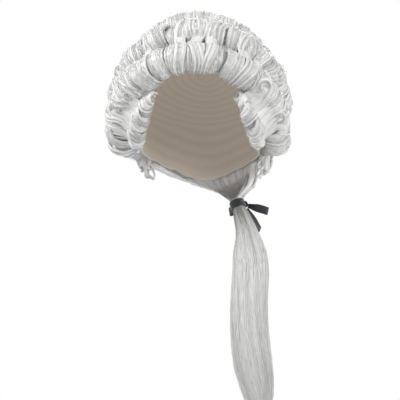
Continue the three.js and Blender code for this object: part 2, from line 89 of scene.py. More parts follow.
SIDE_TO = 75
SIDE_FULLNESS = 0.05
ROLL_SINK = 2.0
HAIR_FLOOR = 3.3
ROOT_TURN = 228.0
SPIRAL_FROM = -20.0
SPIRAL_SHRINK = 0.5
LOCK_STRAY = 9.0
LOCK_RISE = 4.2
WILD_FROM = 25
WILD_TO = 60
TEMPLE_CALM = 0.2
UPPER_WILD = 0.6
UPPER_FROM = 20
UNDERLAY_LIFT = 12.0
UNDERLAY_HALF_THICK = 8.7
UNDERLAY_HALF_WIDTH = 16.0
BED_ROUND = 22.0
BED_SPREAD = 9.5
BED_CLUMPS_PER_LOCK = 5
BED_CLUMP_HALF_WIDTH = (1.2, 2.4)
# Shade value that greys hair deep inside the rolls and in the beds between rows, as painted shadow.
PAINTED_DEPTH_SHADOW = -0.25
CORE_SIDES = 14
REPEATABLE = (12.9898, 78.233, 43758.5453)

# A rolled lock's size, lie and ends, mostly as ranges, and the tubes that it is made of.
FULL_RADIUS = 18.6
WILD_SIZE = (-0.2, 0.1)
LOCK_BREADTH = (1.0, 1.35)
RISE_SPREAD = (0.8, 1.2)
RISE_RADIUS = 16
RISE_LIMIT = 0.35
LOCK_GATHER = (0.1, 0.5)
LOCK_GOAL = (-0.4, 0.4)
GATHER_FROM = 0.25
LOCK_TIP = (-150, -90)
TEMPLE_TIP = (-80, -50)
LOCK_RAGGED = 28.0
TEMPLE_RAGGED = 10.0
ROOT_STRAY = 10
PHASE_STRAY = 0.25
FLYAWAY_FALL = 1.15
STRAND_SIDES = 3
CLUMP_SIDES = 6
LOCK_BODY = dict(stations=18, sides=16, shade=(0.2, 0.65))
LOCK_CLUMP = dict(stations=14, spread=0.85, stray=0.12, half_width=(2.0, 4.4), half_thick=(0.9, 1.5),
                  height=(0.1, 0.9), shade=(0.3, 0.7))
LOCK_STRAND = dict(stations=9, spread=1.02, flyaway=(0.8, 3.0), lying=(-0.1, 0.3), height=(0.1, 0.8))

# A loose curl, in shares of its radius, its turn in radians and its sink in millimetres.
CURL_LOCKS = 4
CURL_STRANDS_PER_MM = 3
CURL_SINK = 1.5
CURL_REACH = (0.45, 0.85)
CURL_STRAY = 0.35
CURL_WIND = (3.4, 5.2)
CURL_DOME = 0.22
CURL_STRAND_RISE = (0.08, 0.2)
CURL_LOCK_WIDTH = (0.15, 0.24)

# Large swirls at the sides: row, angle around the face, turn on the roll and radius.
SWIRLS = [
    dict(node="curl_row_front", around=47, turn=52, radius=13.0),
    dict(node="curl_row_front", around=72, turn=40, radius=11.0),
    dict(node="curl_row_front", around=-64, turn=45, radius=11.0),
    dict(node="curl_row_second", around=60, turn=60, radius=10.5),
    dict(node="curl_row_second", around=-58, turn=62, radius=10.0),
]

# Locks that run on from one row over the next: the two rows, span around the face and number.
SIDE_SWEEPS = [
    dict(upper="curl_row_second", lower="curl_row_front", start=32, end=101, locks=7),
    dict(upper="curl_row_third", lower="curl_row_second", start=20, end=90, locks=7),
    dict(upper="crown_curls", lower="curl_row_third", start=14, end=67, locks=5),
]
SWEEPS = [
    dict(upper="curl_row_second", lower="curl_row_front", start=-6, end=12, locks=3),
    dict(upper="curl_row_third", lower="curl_row_second", start=-8, end=8, locks=3),
    dict(upper="crown_curls", lower="curl_row_third", start=-6, end=4, locks=2),
    dict(upper="curl_row_front", lower="temple_curls_right", start=45, end=79, locks=7),
    dict(upper="curl_row_front", lower="temple_curls_left", start=-79, end=-45, locks=7),
    *SIDE_SWEEPS,
    *[dict(sweep, start=-sweep["end"], end=-sweep["start"]) for sweep in SIDE_SWEEPS],
]
SWEEP_HALF_WIDTH = 7.4
SWEEP_HALF_THICK = 2.6
SWEEP_UPPER_TURNS = (120, 85, 50, 20)
SWEEP_LOWER_TURNS = (158, 122, 85, 45, 0, -50)
SWEEP_BODY_SIDES = 12
SWEEP_TUBES = ((1, 22, SWEEP_BODY_SIDES), (3, 18, CLUMP_SIDES), (28, 15, STRAND_SIDES))
MM_PER_DEGREE = math.radians(1) * 95

# Locks that hang behind the wearer's ears from the ends of the front row: x, y, z and radius of each section.
LOCK_BEHIND_RIGHT_EAR = [
    (-77, 37, -146, 9.5), (-71, 35, -160, 8.5), (-63, 39, -172, 5.5), (-57, 44, -180, 1.5)]
LOCK_BEHIND_LEFT_EAR = [(79, 36, -146, 10.5), (74, 31, -159, 9), (67, 29, -170, 6), (62, 30, -178, 1.5)]
RINGLETS = 5
RINGLET_TUBES = ((1, 24, 8), (18, 16, STRAND_SIDES))
RINGLET_LENGTH = (0.45, 0.75)
RINGLET_COILS = (1.5, 2.3)
RINGLET_COIL_RADIUS = (3.0, 2.4)
RINGLET_HALF_WIDTH = 3.6
RINGLET_SKIN = 3.4
RINGLET_CURLS_AT = (0.3, 0.8, 1.2, 1.7)
RINGLET_CURL_RADIUS = (6, 8)

# Combed hair: where it starts behind the rim, and how it gathers round the neck.
BACK_START_AROUND = [0, 71, 81, 95, 101, 107, 112, 116, 118]
BACK_START_BEHIND = [76, 76, 63, 54, 38, 20, 10, 4, 1]
BACK_START_SPAN = 118.0
BACK_EXIT_SPAN = 60.0
BACK_PAST_RIM = 1.0
BACK_STRIPS = 13
BACK_STRIP_HALF_WIDTH = 13.0
BACK_FLOOR = 4.6
BACK_EDGE_LIFT = 2.6
BACK_CREST = 15.0
BACK_GROOVE = 10.0
NECK = np.array([5.0, 15.0])
GATHER = [(0.12, 1.0, 6.0), (0.4, 5.0, 7.0), (0.7, 6.0, 7.5)]
BACK_CONTROLS = 8
BACK_LAST_SHARE = 0.92
NAPE_FLOOR = 2.5

# Layers of strips: layer, steps aside, share of the strip's width and half thickness. Then clumps over them.
BACK_LAYERS = ((-0.1, 1.0, 0.7, 4.2), (0.05, 0.0, 0.56, 6.0))
BACK_CLUMPS = 70
BACK_UPRIGHT = np.array([0.3, 0.1, 1.0])

# The tie and the queue: x, y, z, half width and half thickness.
TIE = np.array([44.0, 36.0, -203.0])
TIE_AXIS = np.array([0.32, -0.42, -0.85]) / np.linalg.norm([0.32, -0.42, -0.85])
TIE_OUT = np.array([0.85, 0.5, 0.1])
TIE_RADIUS = 8.4
TIE_PLUG = 7.0
TIE_OPEN = 84.0
TAIL_SECTIONS = np.array([
    [50, 27, -218, 10.5, 9],
    [57, 12, -238, 13, 9.5],
    [61, -6, -262, 20, 10],
    [63, -26, -285, 22, 10.5],
    [62, -46, -318, 21.5, 10],
    [63, -58, -352, 22.5, 9.5],
    [67, -64, -388, 23, 9],
    [73, -66, -420, 18.5, 7.5],
    [76, -66, -445, 11, 5],
    [77, -66, -466, 4, 2.5],
])

# Layers of clumps in the queue: number, least and greatest depth, half width and thickness as a share of it.
QUEUE_LAYERS = ((16, 0.42, 0.55, 6.5, 0.55), (30, 0.6, 0.8, 2.6, 0.6))
QUEUE_SWELL_AT = [0, 0.1, 0.22, 0.4, 0.75, 1]
QUEUE_SWELL = [0.45, 0.5, 0.65, 1.0, 0.95, 0.12]
QUEUE_SHADE = (0.4, 0.9)

# The ribbon
KNOT_OUT = np.array([0.55, 0.83, 0.05]) / np.linalg.norm([0.55, 0.83, 0.05])
KNOT_SIZE = (5.0, 6.0, 3.6)
KNOT_BAND_WIDTH = 8.6
KNOT_BAND_HALF = (4.4, 3.1)
SOLID_TIE_RADIUS = 8.6
SOLID_RIBBON_WALL = 1.0
WRAP_RADIUS = 9.5
WRAP_WIDTH = 11.0
RIBBON_GAP = 0.35
LOOPS = [
    dict(node="ribbon_loop_right", along=(0.94, -0.22, -0.2), length=27.0, belly=5.0),
    dict(node="ribbon_loop_left", along=(-0.66, 0.7, -0.28), length=25.0, belly=5.0),
]
ENDS = [
    dict(node="ribbon_end_right", along=(0.5, -0.48, -0.72), length=37.0, facing=96.0),
    dict(node="ribbon_end_left", along=(-0.08, 0.36, -0.93), length=33.0, facing=10.0),
]

# The cap's rows of weft, its UV size and wall in metres, and what Blender's wave texture repeats by.
CAP_WEFTS = 14
CAP_CLOTH = (0.5, 0.16)
CAP_SHEET = 0.0011
WAVE_REPEAT = 20

# The lights: name, place, target, size and share of the key light's power.
LAMPS = [
    ("key", (-1.25, -0.75, 0.85), (0, 0, -0.1), 0.6, 1.0),
    ("fill", (1.3, -0.8, 0.1), (0, 0, -0.2), 0.8, 0.5),
    ("rim", (0.3, 1.3, 0.7), (0, 0, -0.1), 1.0, 0.4),
]

# The floor, and the photograph's view
FLOOR_TOP = -0.48
FLOOR_DEPTH = 0.01
FLOOR_RADIUS = 0.26
VIEW_TURN = math.radians(5)
VIEW_DISTANCE = 1.5
VIEW_HEIGHT = -0.196
VIEW_ASIDE = 0.00125
VIEW_LENS = 108.3


def unit(vectors):
    return vectors / np.linalg.norm(vectors, axis=-1, keepdims=True)


def smooth(value, low, high):
    share = np.clip((value - low) / (high - low), 0, 1)
    return share * share * (3 - 2 * share)


def mix(a, b, share):
    return a + (b - a) * share


def vary(index, kind):
    """A repeatable number from -1 to 1 for a lock and a purpose."""
    by_index, by_kind, spread = REPEATABLE
    wave = math.sin(index * by_index + kind * by_kind) * spread
    return 2 * (wave - math.floor(wave)) - 1


def bearing(polar, around):
    """Directions in degrees from the face axis and around it from the forehead."""
    polar, around = np.broadcast_arrays(np.radians(polar), np.radians(around))
    rim = np.cos(around)[..., None] * BROW + np.sin(around)[..., None] * EAR
    return np.cos(polar)[..., None] * FACE + np.sin(polar)[..., None] * rim


def outward(direction):
    drop = np.where(direction[..., 2] < 0, LOWER_DROP, CROWN_RISE)
    scale = np.stack([np.full_like(drop, HALF_WIDTH), np.full_like(drop, HALF_DEPTH), drop], -1)
    return unit(direction / scale)


def on_head(direction, lift):
    """Points of the head's surface in the given directions, moved outwards by lift."""
    rise = np.maximum(direction[..., 2], LOWEST_RISE)
    drop = np.where(rise < 0, LOWER_DROP, CROWN_RISE)
    drawn = np.where(rise < 0, 1 - NAPE_TAPER * rise**2, 1.0)
    skin = np.stack([
        HALF_WIDTH * drawn * direction[..., 0],
        HALF_DEPTH * drawn * direction[..., 1],
        drop * rise - CROWN_RISE,
    ], -1)
    return skin + outward(direction) * np.asarray(lift)[..., None]


def rim_polar(around):
    turn = np.abs((np.asarray(around) + 180) % 360 - 180)
    return np.interp(turn, RIM_AROUND, RIM_POLAR)


def roll_frame(row, around):
    """Axes of a rolled row at angles around the face: back along the scalp, out of it, and along the row."""
    behind = mix(row["top"], row["side"], smooth(np.abs(around), SIDE_FROM, SIDE_TO))
    polar = rim_polar(around) + behind * np.where(behind < 0, end_fullness(row, around) ** FORE_DRAW, 1)
    out = outward(bearing(polar, around))
    back = on_head(bearing(polar + 0.5, around), np.zeros_like(polar))
    back = back - on_head(bearing(polar - 0.5, around), np.zeros_like(polar))
    back = unit(back - (back * out).sum(-1, keepdims=True) * out)
    return polar, out, back, np.cross(out, back)


def end_fullness(row, around):
    """Share of a roll's radius that is left near the ends of its row."""
    inset = np.minimum(around - row["start"], row["end"] - around)
    past = np.maximum(0, 1 - inset / row["round"])
    draw = END_DRAW if row["top"] > 0 else TEMPLE_DRAW
    return np.sqrt(np.maximum(0.05, 1 - draw * past**2))


def roll_radius(row, around):
    side = 1 - SIDE_FULLNESS * np.sin(np.radians(around))
    return row["radius"] * side * end_fullness(row, around)


def rolled_paths(lock, places, heights, turns, drift):
    """Paths on a rolled lock, from places across it, heights over its skin, turns in degrees and drift."""
    shrink = 1 - SPIRAL_SHRINK * np.clip((SPIRAL_FROM - turns) / 180, 0, 1)
    reach = (lock["radius"] + heights) * shrink
    angle = np.radians(turns)
    aside = lock["half"] * places + drift
    return (lock["centre"] + lock["along"] * aside[..., None]
            - lock["back"] * (reach * np.cos(angle))[..., None]
            + lock["out"] * (reach * np.sin(angle))[..., None])


def swept(paths, across, half_width, half_thick, sides):
    """Rings of vertices round paths of shape (count, stations, 3), and the length run at each station."""
    tangent = unit(np.gradient(paths, axis=1))
    side = unit(across - (across * tangent).sum(-1, keepdims=True) * tangent)
    out = np.cross(tangent, side)
    turn = 2 * math.pi * np.arange(sides) / sides
    ring = side[:, :, None, :] * (half_width[..., None] * np.cos(turn))[..., None]
    ring = ring + out[:, :, None, :] * (half_thick[..., None] * np.sin(turn))[..., None]
    verts = paths[:, :, None, :] + ring
    steps = np.linalg.norm(np.diff(paths, axis=1), axis=-1)
    run = np.concatenate([np.zeros((len(paths), 1)), np.cumsum(steps, axis=1)], axis=1)
    return verts, run


class HairMesh:
    """Collects swept tubes and makes one mesh with UVs in millimetres and a shade along each tube."""

    def __init__(self):
        self.verts, self.faces, self.uvs, self.shades = [], [], [], []
        self.count = 0

    def add(self, paths, across, half_width, half_thick, sides, shade):
        verts, run = swept(paths, across, half_width, half_thick, sides)
        tubes, stations = paths.shape[:2]
        index = self.count + np.arange(tubes * stations * sides).reshape(tubes, stations, sides)
        after = np.roll(index, -1, axis=2)
        quads = np.stack([index[:, :-1], after[:, :-1], after[:, 1:], index[:, 1:]], -1)
        girth = math.pi * (half_width + half_thick).mean(axis=-1).reshape(-1, 1, 1)
        left = np.broadcast_to(np.arange(sides) * girth / sides, quads.shape[:3])
        right = left + girth / sides
        low = np.broadcast_to(run[:, :-1, None], quads.shape[:3])
        high = np.broadcast_to(run[:, 1:, None], quads.shape[:3])
        own = np.arange(tubes)[:, None, None] * 7.3
        uv = np.stack([left + own, low, right + own, low, right + own, high, left + own, high], -1)
        self.verts.append(verts.reshape(-1, 3))
        self.faces.extend(quads.reshape(-1, 4).tolist())
        self.uvs.append(uv.reshape(-1, 2))
        ends = np.concatenate([index[:, 0, ::-1], index[:, -1]])
        self.faces.extend(ends.tolist())
        self.uvs.append(np.zeros((ends.size, 2)))
        along = np.broadcast_to(shade.reshape(tubes, -1), (tubes, stations))
        self.shades.append(np.repeat(along, sides))
        self.count += tubes * stations * sides

    def make(self, name, material):
        mesh = bpy.data.meshes.new(name)
        mesh.from_pydata((np.concatenate(self.verts) * MM).tolist(), [], self.faces)
        uv = mesh.uv_layers.new(name="strand")
        uv.data.foreach_set("uv", np.concatenate(self.uvs).ravel())
        shade = mesh.attributes.new("shade", "FLOAT", "POINT")
        shade.data.foreach_set("value", np.concatenate(self.shades))
        mesh.polygons.foreach_set("use_smooth", [True] * len(mesh.polygons))
        mesh.materials.append(material)
        piece = bpy.data.objects.new(name, mesh)
        bpy.context.scene.collection.objects.link(piece)
        return piece


def seat(piece, slot, *nodes):
    """Lets a finished piece ride on the frame, in the place of its CAD nodes."""
    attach(piece, "root")
    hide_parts(*nodes)


def taper(stations, root, tip, power=2.0):
    """Shares of a strand's thickness along it, drawn in at its root and tip."""
    share = np.linspace(0, 1, stations)
    return np.minimum(1, root + (1 - root) * share / 0.12) * (1 - (1 - tip) * share**power)


def curl_lock(row, index, rng):
    """The place, size and habit of one rolled lock, wilder at the sides than over the forehead."""
    pitch = (row["end"] - row["start"]) / row["locks"]
    around = row["start"] + pitch * (index + 0.5 + 0.14 * vary(index, 2))
    wild = float(smooth(abs(around), WILD_FROM, WILD_TO)) * (1.0 if row["top"] > 0 else TEMPLE_CALM)
    wild = max(wild, UPPER_WILD if row["top"] > UPPER_FROM else 0.0)
    polar, out, back, along = roll_frame(row, np.array(around))
    radius = roll_radius(row, around) * (1 + 0.05 * vary(index, 1) + wild * rng.uniform(*WILD_SIZE))
    centre = on_head(bearing(polar, around), HAIR_FLOOR + radius - ROLL_SINK)
    neighbour = roll_frame(row, np.array(around + 0.5 * pitch))[0]
    edge = on_head(bearing(neighbour, around + 0.5 * pitch), HAIR_FLOOR + radius - ROLL_SINK)
    stray = math.radians(rng.normal(0, LOCK_STRAY * (0.5 + wild)))
    return dict(
        centre=centre + back * rng.uniform(-1, 1) * (1 + 3 * wild),
        radius=radius,
        out=out,
        back=back * math.cos(stray) + along * math.sin(stray),
        along=along * math.cos(stray) - back * math.sin(stray),
        half=np.linalg.norm(edge - centre) * rng.uniform(*LOCK_BREADTH),
        rise=min(
            LOCK_RISE * (1 + 0.5 * wild) * rng.uniform(*RISE_SPREAD) * min(1, row["radius"] / RISE_RADIUS),
            RISE_LIMIT * radius),
        lean=3 * vary(index, 4) + (2 + 6 * wild) * rng.uniform(-1, 1),
        wave=(0.6 + 2.2 * wild) * rng.uniform(0.5, 1.2),
        phase=rng.uniform(0, 2 * math.pi),
        gather=rng.uniform(*LOCK_GATHER),
        goal=rng.uniform(*LOCK_GOAL),
        tip=rng.uniform(*(LOCK_TIP if row["top"] > 0 else TEMPLE_TIP)),
        ragged=LOCK_RAGGED if row["top"] > 0 else TEMPLE_RAGGED,
    )


def lock_course(lock, place, root, tip, own_phase, share):
    """Places, turns and sideways drift along a lock's strands, as they wave and gather towards the tip."""
    turns = mix(root, tip, share)
    places = mix(place, lock["goal"], lock["gather"] * smooth(share, GATHER_FROM, 1.0))
    wave = np.sin(np.radians(2.4 * turns) + lock["phase"] + own_phase)
    drift = lock["lean"] * turns / 180 + lock["wave"] * wave
    return places, turns, drift


def lock_skin(lock, place):
    """Height of a lock's smooth body at places across it, below the height of its middle."""
    return lock["rise"] * (np.sqrt(np.maximum(0, 1 - np.minimum(np.abs(place), 1) ** 2)) - 1)


def strand_habit(lock, count, rng):
    """Turns at which the strands of a lock start and end, and how far each is out of step with its wave."""
    root = ROOT_TURN + rng.uniform(-ROOT_STRAY, ROOT_STRAY, (count, 1))
    tip = lock["tip"] + rng.normal(0, lock["ragged"], (count, 1))
    return root, tip, rng.normal(0, PHASE_STRAY, (count, 1))


def add_curl_lock(hair, row, index, settings, rng):
    """One rolled lock: a smooth body, flat clumps that lie on it, and strands over both."""
    lock = curl_lock(row, index, rng)
    size = row["radius"] / FULL_RADIUS
    stations = LOCK_BODY["stations"]
    share = np.linspace(0, 1, stations)
    course = lock_course(lock, np.zeros((1, 1)), ROOT_TURN, lock["tip"], 0.0, share)
    paths = rolled_paths(lock, course[0], -lock["rise"], *course[1:])
    half = lock["half"] * (1 - lock["gather"] * smooth(share, GATHER_FROM, 1.0))[None, :]
    thick = np.full_like(half, lock["rise"]) * taper(stations, 0.8, 0.5)
    shade = np.array([rng.uniform(*LOCK_BODY["shade"])])
    hair.add(paths, lock["along"], half, thick, LOCK_BODY["sides"], shade)

    clumps, stations = row["clumps"], LOCK_CLUMP["stations"]
    share = np.linspace(0, 1, stations)
    spread, stray = LOCK_CLUMP["spread"], LOCK_CLUMP["stray"]
    place = (np.linspace(-spread, spread, clumps) + rng.uniform(-stray, stray, clumps))[:, None]
    half_width = size * rng.uniform(*LOCK_CLUMP["half_width"], (clumps, 1))
    half_thick = size * rng.uniform(*LOCK_CLUMP["half_thick"], (clumps, 1))
    height = lock_skin(lock, place) + size * rng.uniform(*LOCK_CLUMP["height"], (clumps, 1)) - half_thick
    course = lock_course(lock, place, *strand_habit(lock, clumps, rng), share)
    paths = rolled_paths(lock, course[0], height, *course[1:])
    profile = taper(stations, 0.7, 0.25)
    shade = rng.uniform(*LOCK_CLUMP["shade"], clumps)
    hair.add(paths, lock["along"], half_width * profile, half_thick * profile, CLUMP_SIDES, shade)

    strands, stations = row["strands"], LOCK_STRAND["stations"]
    share = np.linspace(0, 1, stations)
    spread = LOCK_STRAND["spread"]
    place = rng.uniform(-spread, spread, (strands, 1))
    loose = rng.random((strands, 1)) < settings.flyaway_share
    flyaway = rng.uniform(*LOCK_STRAND["flyaway"], (strands, 1))
    proud = np.where(loose, flyaway, rng.uniform(*LOCK_STRAND["lying"], (strands, 1)))
    rise = proud * np.sin(math.pi * np.clip(share * FLYAWAY_FALL, 0, 1))
    course = lock_course(lock, place, *strand_habit(lock, strands, rng), share)
    height = lock_skin(lock, place) + rng.uniform(*LOCK_STRAND["height"], (strands, 1)) * size + rise
    paths = rolled_paths(lock, course[0], height, *course[1:])
    radius = strand_radii(settings, stations, strands, rng)
    hair.add(paths, lock["along"], radius, radius, STRAND_SIDES, rng.uniform(0, 1, strands))


def strand_radii(settings, stations, strands, rng, root=0.6, tip=0.3, widest=1.2):
    """Radii of strands along their length, in millimetres, thinner at the root and the tip."""
    profile = settings.strand_radius / MM * taper(stations, root, tip)
    return profile * rng.uniform(0.7, widest, (strands, 1))


def add_loose_curl(hair, centre, normal, across, radius, settings, rng):
    """A loose curl that lies on the hair: plump tapered locks wound round its middle, and strands on them."""
    other = np.cross(normal, across)
    turn_on = rng.choice([-1.0, 1.0])
    start = rng.uniform(0, 2 * math.pi)
    tubes = ((CURL_LOCKS, 14, CLUMP_SIDES), (int(radius * CURL_STRANDS_PER_MM), 11, STRAND_SIDES))
    for count, stations, sides in tubes:
        share = np.linspace(0, 1, stations)
        reach = radius * np.linspace(*CURL_REACH, count)[:, None] * (1 - 0.5 * share)
        begin = start + rng.normal(0, CURL_STRAY, (count, 1))
        angle = begin + turn_on * share * rng.uniform(*CURL_WIND, (count, 1))
        aim = across * np.cos(angle)[..., None] + other * np.sin(angle)[..., None]
        dome = CURL_DOME * radius * (1 - (reach / radius) ** 2)
        if sides == STRAND_SIDES:
            wide = strand_radii(settings, stations, count, rng)
            thick = wide
            dome = dome + radius * rng.uniform(*CURL_STRAND_RISE, (count, 1))
        else:
            wide = radius * rng.uniform(*CURL_LOCK_WIDTH, (count, 1))
            wide = wide * np.sin(math.pi * mix(0.12, 0.97, share)) ** 0.7
            thick = 0.75 * wide
        paths = centre + aim * reach[..., None] + normal * dome[..., None]
        hair.add(paths, aim, wide, thick, sides, rng.uniform(0.3, 0.7, count))


def roll_seat(row, around):
    """Middle of a row's roll at angles around the face, its radius, and its axes."""
    polar, out, back, along = roll_frame(row, around)
    radius = roll_radius(row, around)
    return on_head(bearing(polar, around), HAIR_FLOOR + radius - ROLL_SINK), radius, out, back, along


def curl_seat(row, around, turn):
    """Centre and normal of a place on the skin of a row's roll, and the direction along the row."""
    centre, radius, out, back, along = roll_seat(row, np.array(float(around)))
    normal = out * math.sin(math.radians(turn)) - back * math.cos(math.radians(turn))
    return centre + normal * (radius - CURL_SINK), normal, along


def add_loose_curls(hair, row, settings, rng):
    """Loose curls at the sides of a row."""
    for _ in range(row["loose"]):
        span = rng.uniform(0.4, 0.95)
        around = row["end"] * span if rng.random() < 0.5 else row["start"] * span
        centre, normal, along = curl_seat(row, around, rng.uniform(20, 120))
        add_loose_curl(hair, centre, normal, along, row["radius"] * rng.uniform(0.32, 0.5), settings, rng)


def add_swirls(hair, row, settings, rng):
    """The large swirls that show at the sides of the face."""
    for swirl in SWIRLS:
        if swirl["node"] == row["node"]:
            centre, normal, along = curl_seat(row, swirl["around"], swirl["turn"])
            add_loose_curl(hair, centre, normal, along, swirl["radius"], settings, rng)


def add_roll_core(hair, row, rng):
    """Hair rolled up inside a row and the bed of hair behind it, so that no gap shows the cap, both greyed as
    painted shadow.
    """
    stations = 3 * row["locks"] + 3
    around = np.linspace(row["start"] + 1, row["end"] - 1, stations)[None, :]
    polar, out, back, along = roll_frame(row, around)
    radius = roll_radius(row, around)
    paths = on_head(bearing(polar, around), HAIR_FLOOR + 0.94 * radius - ROLL_SINK)
    hair.add(paths, back, 0.7 * radius, 0.74 * radius, CORE_SIDES, np.array([PAINTED_DEPTH_SHADOW]))
    if row["bed"]:
        behind = polar + row["bed"]
        bed = on_head(bearing(behind, around), np.full_like(polar, UNDERLAY_LIFT))
        full = bed_fullness(row, around)
        wide, thick = UNDERLAY_HALF_WIDTH * full, UNDERLAY_HALF_THICK * full
        hair.add(bed, back, wide, thick, CORE_SIDES, np.array([PAINTED_DEPTH_SHADOW]))
        add_bed_clumps(hair, row, rng)


def bed_fullness(row, around):
    """Share of the bed's size that is left near the ends of its row."""
    return smooth(np.minimum(around - row["start"], row["end"] - around), -2, BED_ROUND)


def add_bed_clumps(hair, row, rng):
    """Clumps combed over the bed behind a row, which show in the gaps between the locks; their low shades are
    painted shade in those gaps.
    """
    count = BED_CLUMPS_PER_LOCK * row["locks"]
    around = np.linspace(row["start"] + 4, row["end"] - 4, count) + rng.uniform(-1.5, 1.5, count)
    full = bed_fullness(row, around)[:, None]
    across = np.linspace(-1, 1, 9)
    polar, out, back, along = roll_frame(row, around)
    polar = polar[:, None] + row["bed"] + BED_SPREAD * full * across
    lean = rng.uniform(-2, 2, (count, 1)) * across
    lift = UNDERLAY_LIFT + UNDERLAY_HALF_THICK * full * np.sqrt(1 - (0.95 * across) ** 2)
    paths = on_head(bearing(polar, around[:, None] + lean), lift)
    width = rng.uniform(*BED_CLUMP_HALF_WIDTH, (count, 1)) * taper(len(across), 0.7, 0.6)
    # Shades below the locks' range: painted shade for the gaps between rows.
    hair.add(paths, along[:, None], width, 0.5 * width, CLUMP_SIDES, rng.uniform(-0.15, 0.35, count))


def roll_point(row, around, turn, height):
    """Points over the skin of a row's roll, at a turn in degrees."""
    centre, reach, out, back, along = roll_seat(row, around)
    aim = out * math.sin(math.radians(turn)) - back * math.cos(math.radians(turn))
    return centre + aim * (reach + height)[..., None]


def add_sweep(hair, sweep, settings, rng):
    """Locks that run over one row's roll and on over the roll of the row before it."""
    upper = next(row for row in CURL_ROWS if row["node"] == sweep["upper"])
    lower = next(row for row in CURL_ROWS if row["node"] == sweep["lower"])
    course = [(upper, turn) for turn in SWEEP_UPPER_TURNS] + [(lower, turn) for turn in SWEEP_LOWER_TURNS]
    middles = np.linspace(sweep["start"], sweep["end"], sweep["locks"])
    for middle in middles + rng.uniform(-1.5, 1.5, sweep["locks"]):
        lean = rng.uniform(-5, 5)
        wave = rng.uniform(0.6, 2.2)
        breadth = SWEEP_HALF_WIDTH * rng.uniform(0.75, 1.25)
        lift = rng.uniform(0.2, 1.4)
        phase = rng.uniform(0, 2 * math.pi)
        across = roll_frame(upper, np.array(middle))[3]
        for count, stations, sides in SWEEP_TUBES:
            spot = np.zeros(1) if sides == SWEEP_BODY_SIDES else rng.uniform(-1, 1, count)
            skin = SWEEP_HALF_THICK * (np.sqrt(1 - spot**2) - 1)
            proud = -SWEEP_HALF_THICK if sides == SWEEP_BODY_SIDES else rng.uniform(-0.4, 0.3, count)
            controls = []
            for step, (row, turn) in enumerate(course):
                swung = middle + lean * step / len(course) + wave * math.sin(1.1 * step + phase)
                around = swung + spot * breadth / MM_PER_DEGREE
                inside = np.clip(around, row["start"] + 1, row["end"] - 1)
                controls.append(roll_point(row, inside, turn, lift + skin + proud))
            paths = smooth_path(np.stack(controls, 1), stations)
            ends = np.sin(math.pi * mix(0.1, 0.95, np.linspace(0, 1, stations))) ** 0.5
            if sides == SWEEP_BODY_SIDES:
                wide = breadth * ends[None, :]
                thick = SWEEP_HALF_THICK * ends[None, :]
            elif sides == CLUMP_SIDES:
                wide = rng.uniform(1.4, 2.6, (count, 1)) * ends
                thick = 0.5 * wide
            else:
                wide = strand_radii(settings, stations, count, rng)
                thick = wide
            hair.add(paths, across, wide, thick, sides, rng.uniform(0.3, 0.75, count))


def add_ringlets(hair, row, around, sections, settings, rng):
    """Ringlets that hang behind the ear from an end of the front row, with ragged ends."""
    root, radius, out, back, along = roll_seat(row, np.array(float(around)))
    line = np.array([[*(root + out * 4), radius], *sections], dtype=float)
    for number in range(RINGLETS):
        length = rng.uniform(*RINGLET_LENGTH)
        coils = rng.choice([-1.0, 1.0]) * rng.uniform(*RINGLET_COILS)
        start = rng.uniform(0, 2 * math.pi)
        spot = 2 * math.pi * number / RINGLETS
        for count, stations, sides in RINGLET_TUBES:
            share = np.linspace(0, 1, stations)
            axis = smooth_path(line[None], stations, np.array([length]))[0]
            coil = start + 2 * math.pi * coils * share + rng.normal(0, 0.2, (count, 1))
            own = rng.uniform(0, 2 * math.pi, (count, 1))
            skin = RINGLET_SKIN * (1 - 0.8 * share**2) if sides == STRAND_SIDES else 0.0
            wide_of = mix(*RINGLET_COIL_RADIUS, share)
            outwards = 0.5 * axis[:, 3] * math.cos(spot) + wide_of * np.cos(coil) + skin * np.cos(own)
            backwards = 0.5 * axis[:, 3] * math.sin(spot) + wide_of * np.sin(coil) + skin * np.sin(own)
            paths = axis[None, :, :3] + out * outwards[..., None] + back * backwards[..., None]
            if sides == STRAND_SIDES:
                wide = strand_radii(settings, stations, count, rng)
            else:
                wide = RINGLET_HALF_WIDTH * taper(stations, 0.7, 0.15) * np.ones((count, 1))
            hair.add(paths, along, wide, wide, sides, rng.uniform(0.35, 0.75, count))
    for step in RINGLET_CURLS_AT:
        base = mix(line[int(step)], line[int(step) + 1], step - int(step))
        normal = unit(out + back * rng.uniform(-1.3, 0.3))
        centre = base[:3] + normal * 0.7 * base[3]
        add_loose_curl(hair, centre, normal, along, rng.uniform(*RINGLET_CURL_RADIUS), settings, rng)


def smooth_path(controls, stations, length=None):
    """Points on smooth curves through controls of shape (paths, controls, columns), cut to a length."""
    paths, count = controls.shape[:2]
    before = 2 * controls[:, :1] - controls[:, 1:2]
    after = 2 * controls[:, -1:] - controls[:, -2:-1]
    padded = np.concatenate([before, controls, after], 1)
    length = np.ones(paths) if length is None else length
    place = length[:, None] * np.linspace(0, count - 1, stations)
    low = np.minimum(place.astype(int), count - 2)
    t = (place - low)[..., None]
    own = np.arange(paths)[:, None]
    p0, p1, p2, p3 = (padded[own, low + k] for k in range(4))
    square = 2 * p0 - 5 * p1 + 4 * p2 - p3
    cube = 3 * p1 - p0 - 3 * p2 + p3
    return 0.5 * (2 * p1 + (p2 - p0) * t + square * t**2 + cube * t**3)


def strip_aim(place, share):
    """Directions of combed hair: place from -1 to 1 across the head, share from its start to the rim."""
    start_around = place * BACK_START_SPAN
    behind = np.interp(np.abs(start_around), BACK_START_AROUND, BACK_START_BEHIND)
    start = bearing(rim_polar(start_around) + behind, start_around)
    exit_around = POLE - BACK_EXIT_SPAN * place
    exit_aim = bearing(rim_polar(exit_around) - BACK_PAST_RIM, exit_around)
    arc = np.arccos(np.clip((start * exit_aim).sum(-1), -1, 1))
    return unit(start * np.sin((1 - share) * arc)[..., None] + exit_aim * np.sin(share * arc)[..., None])


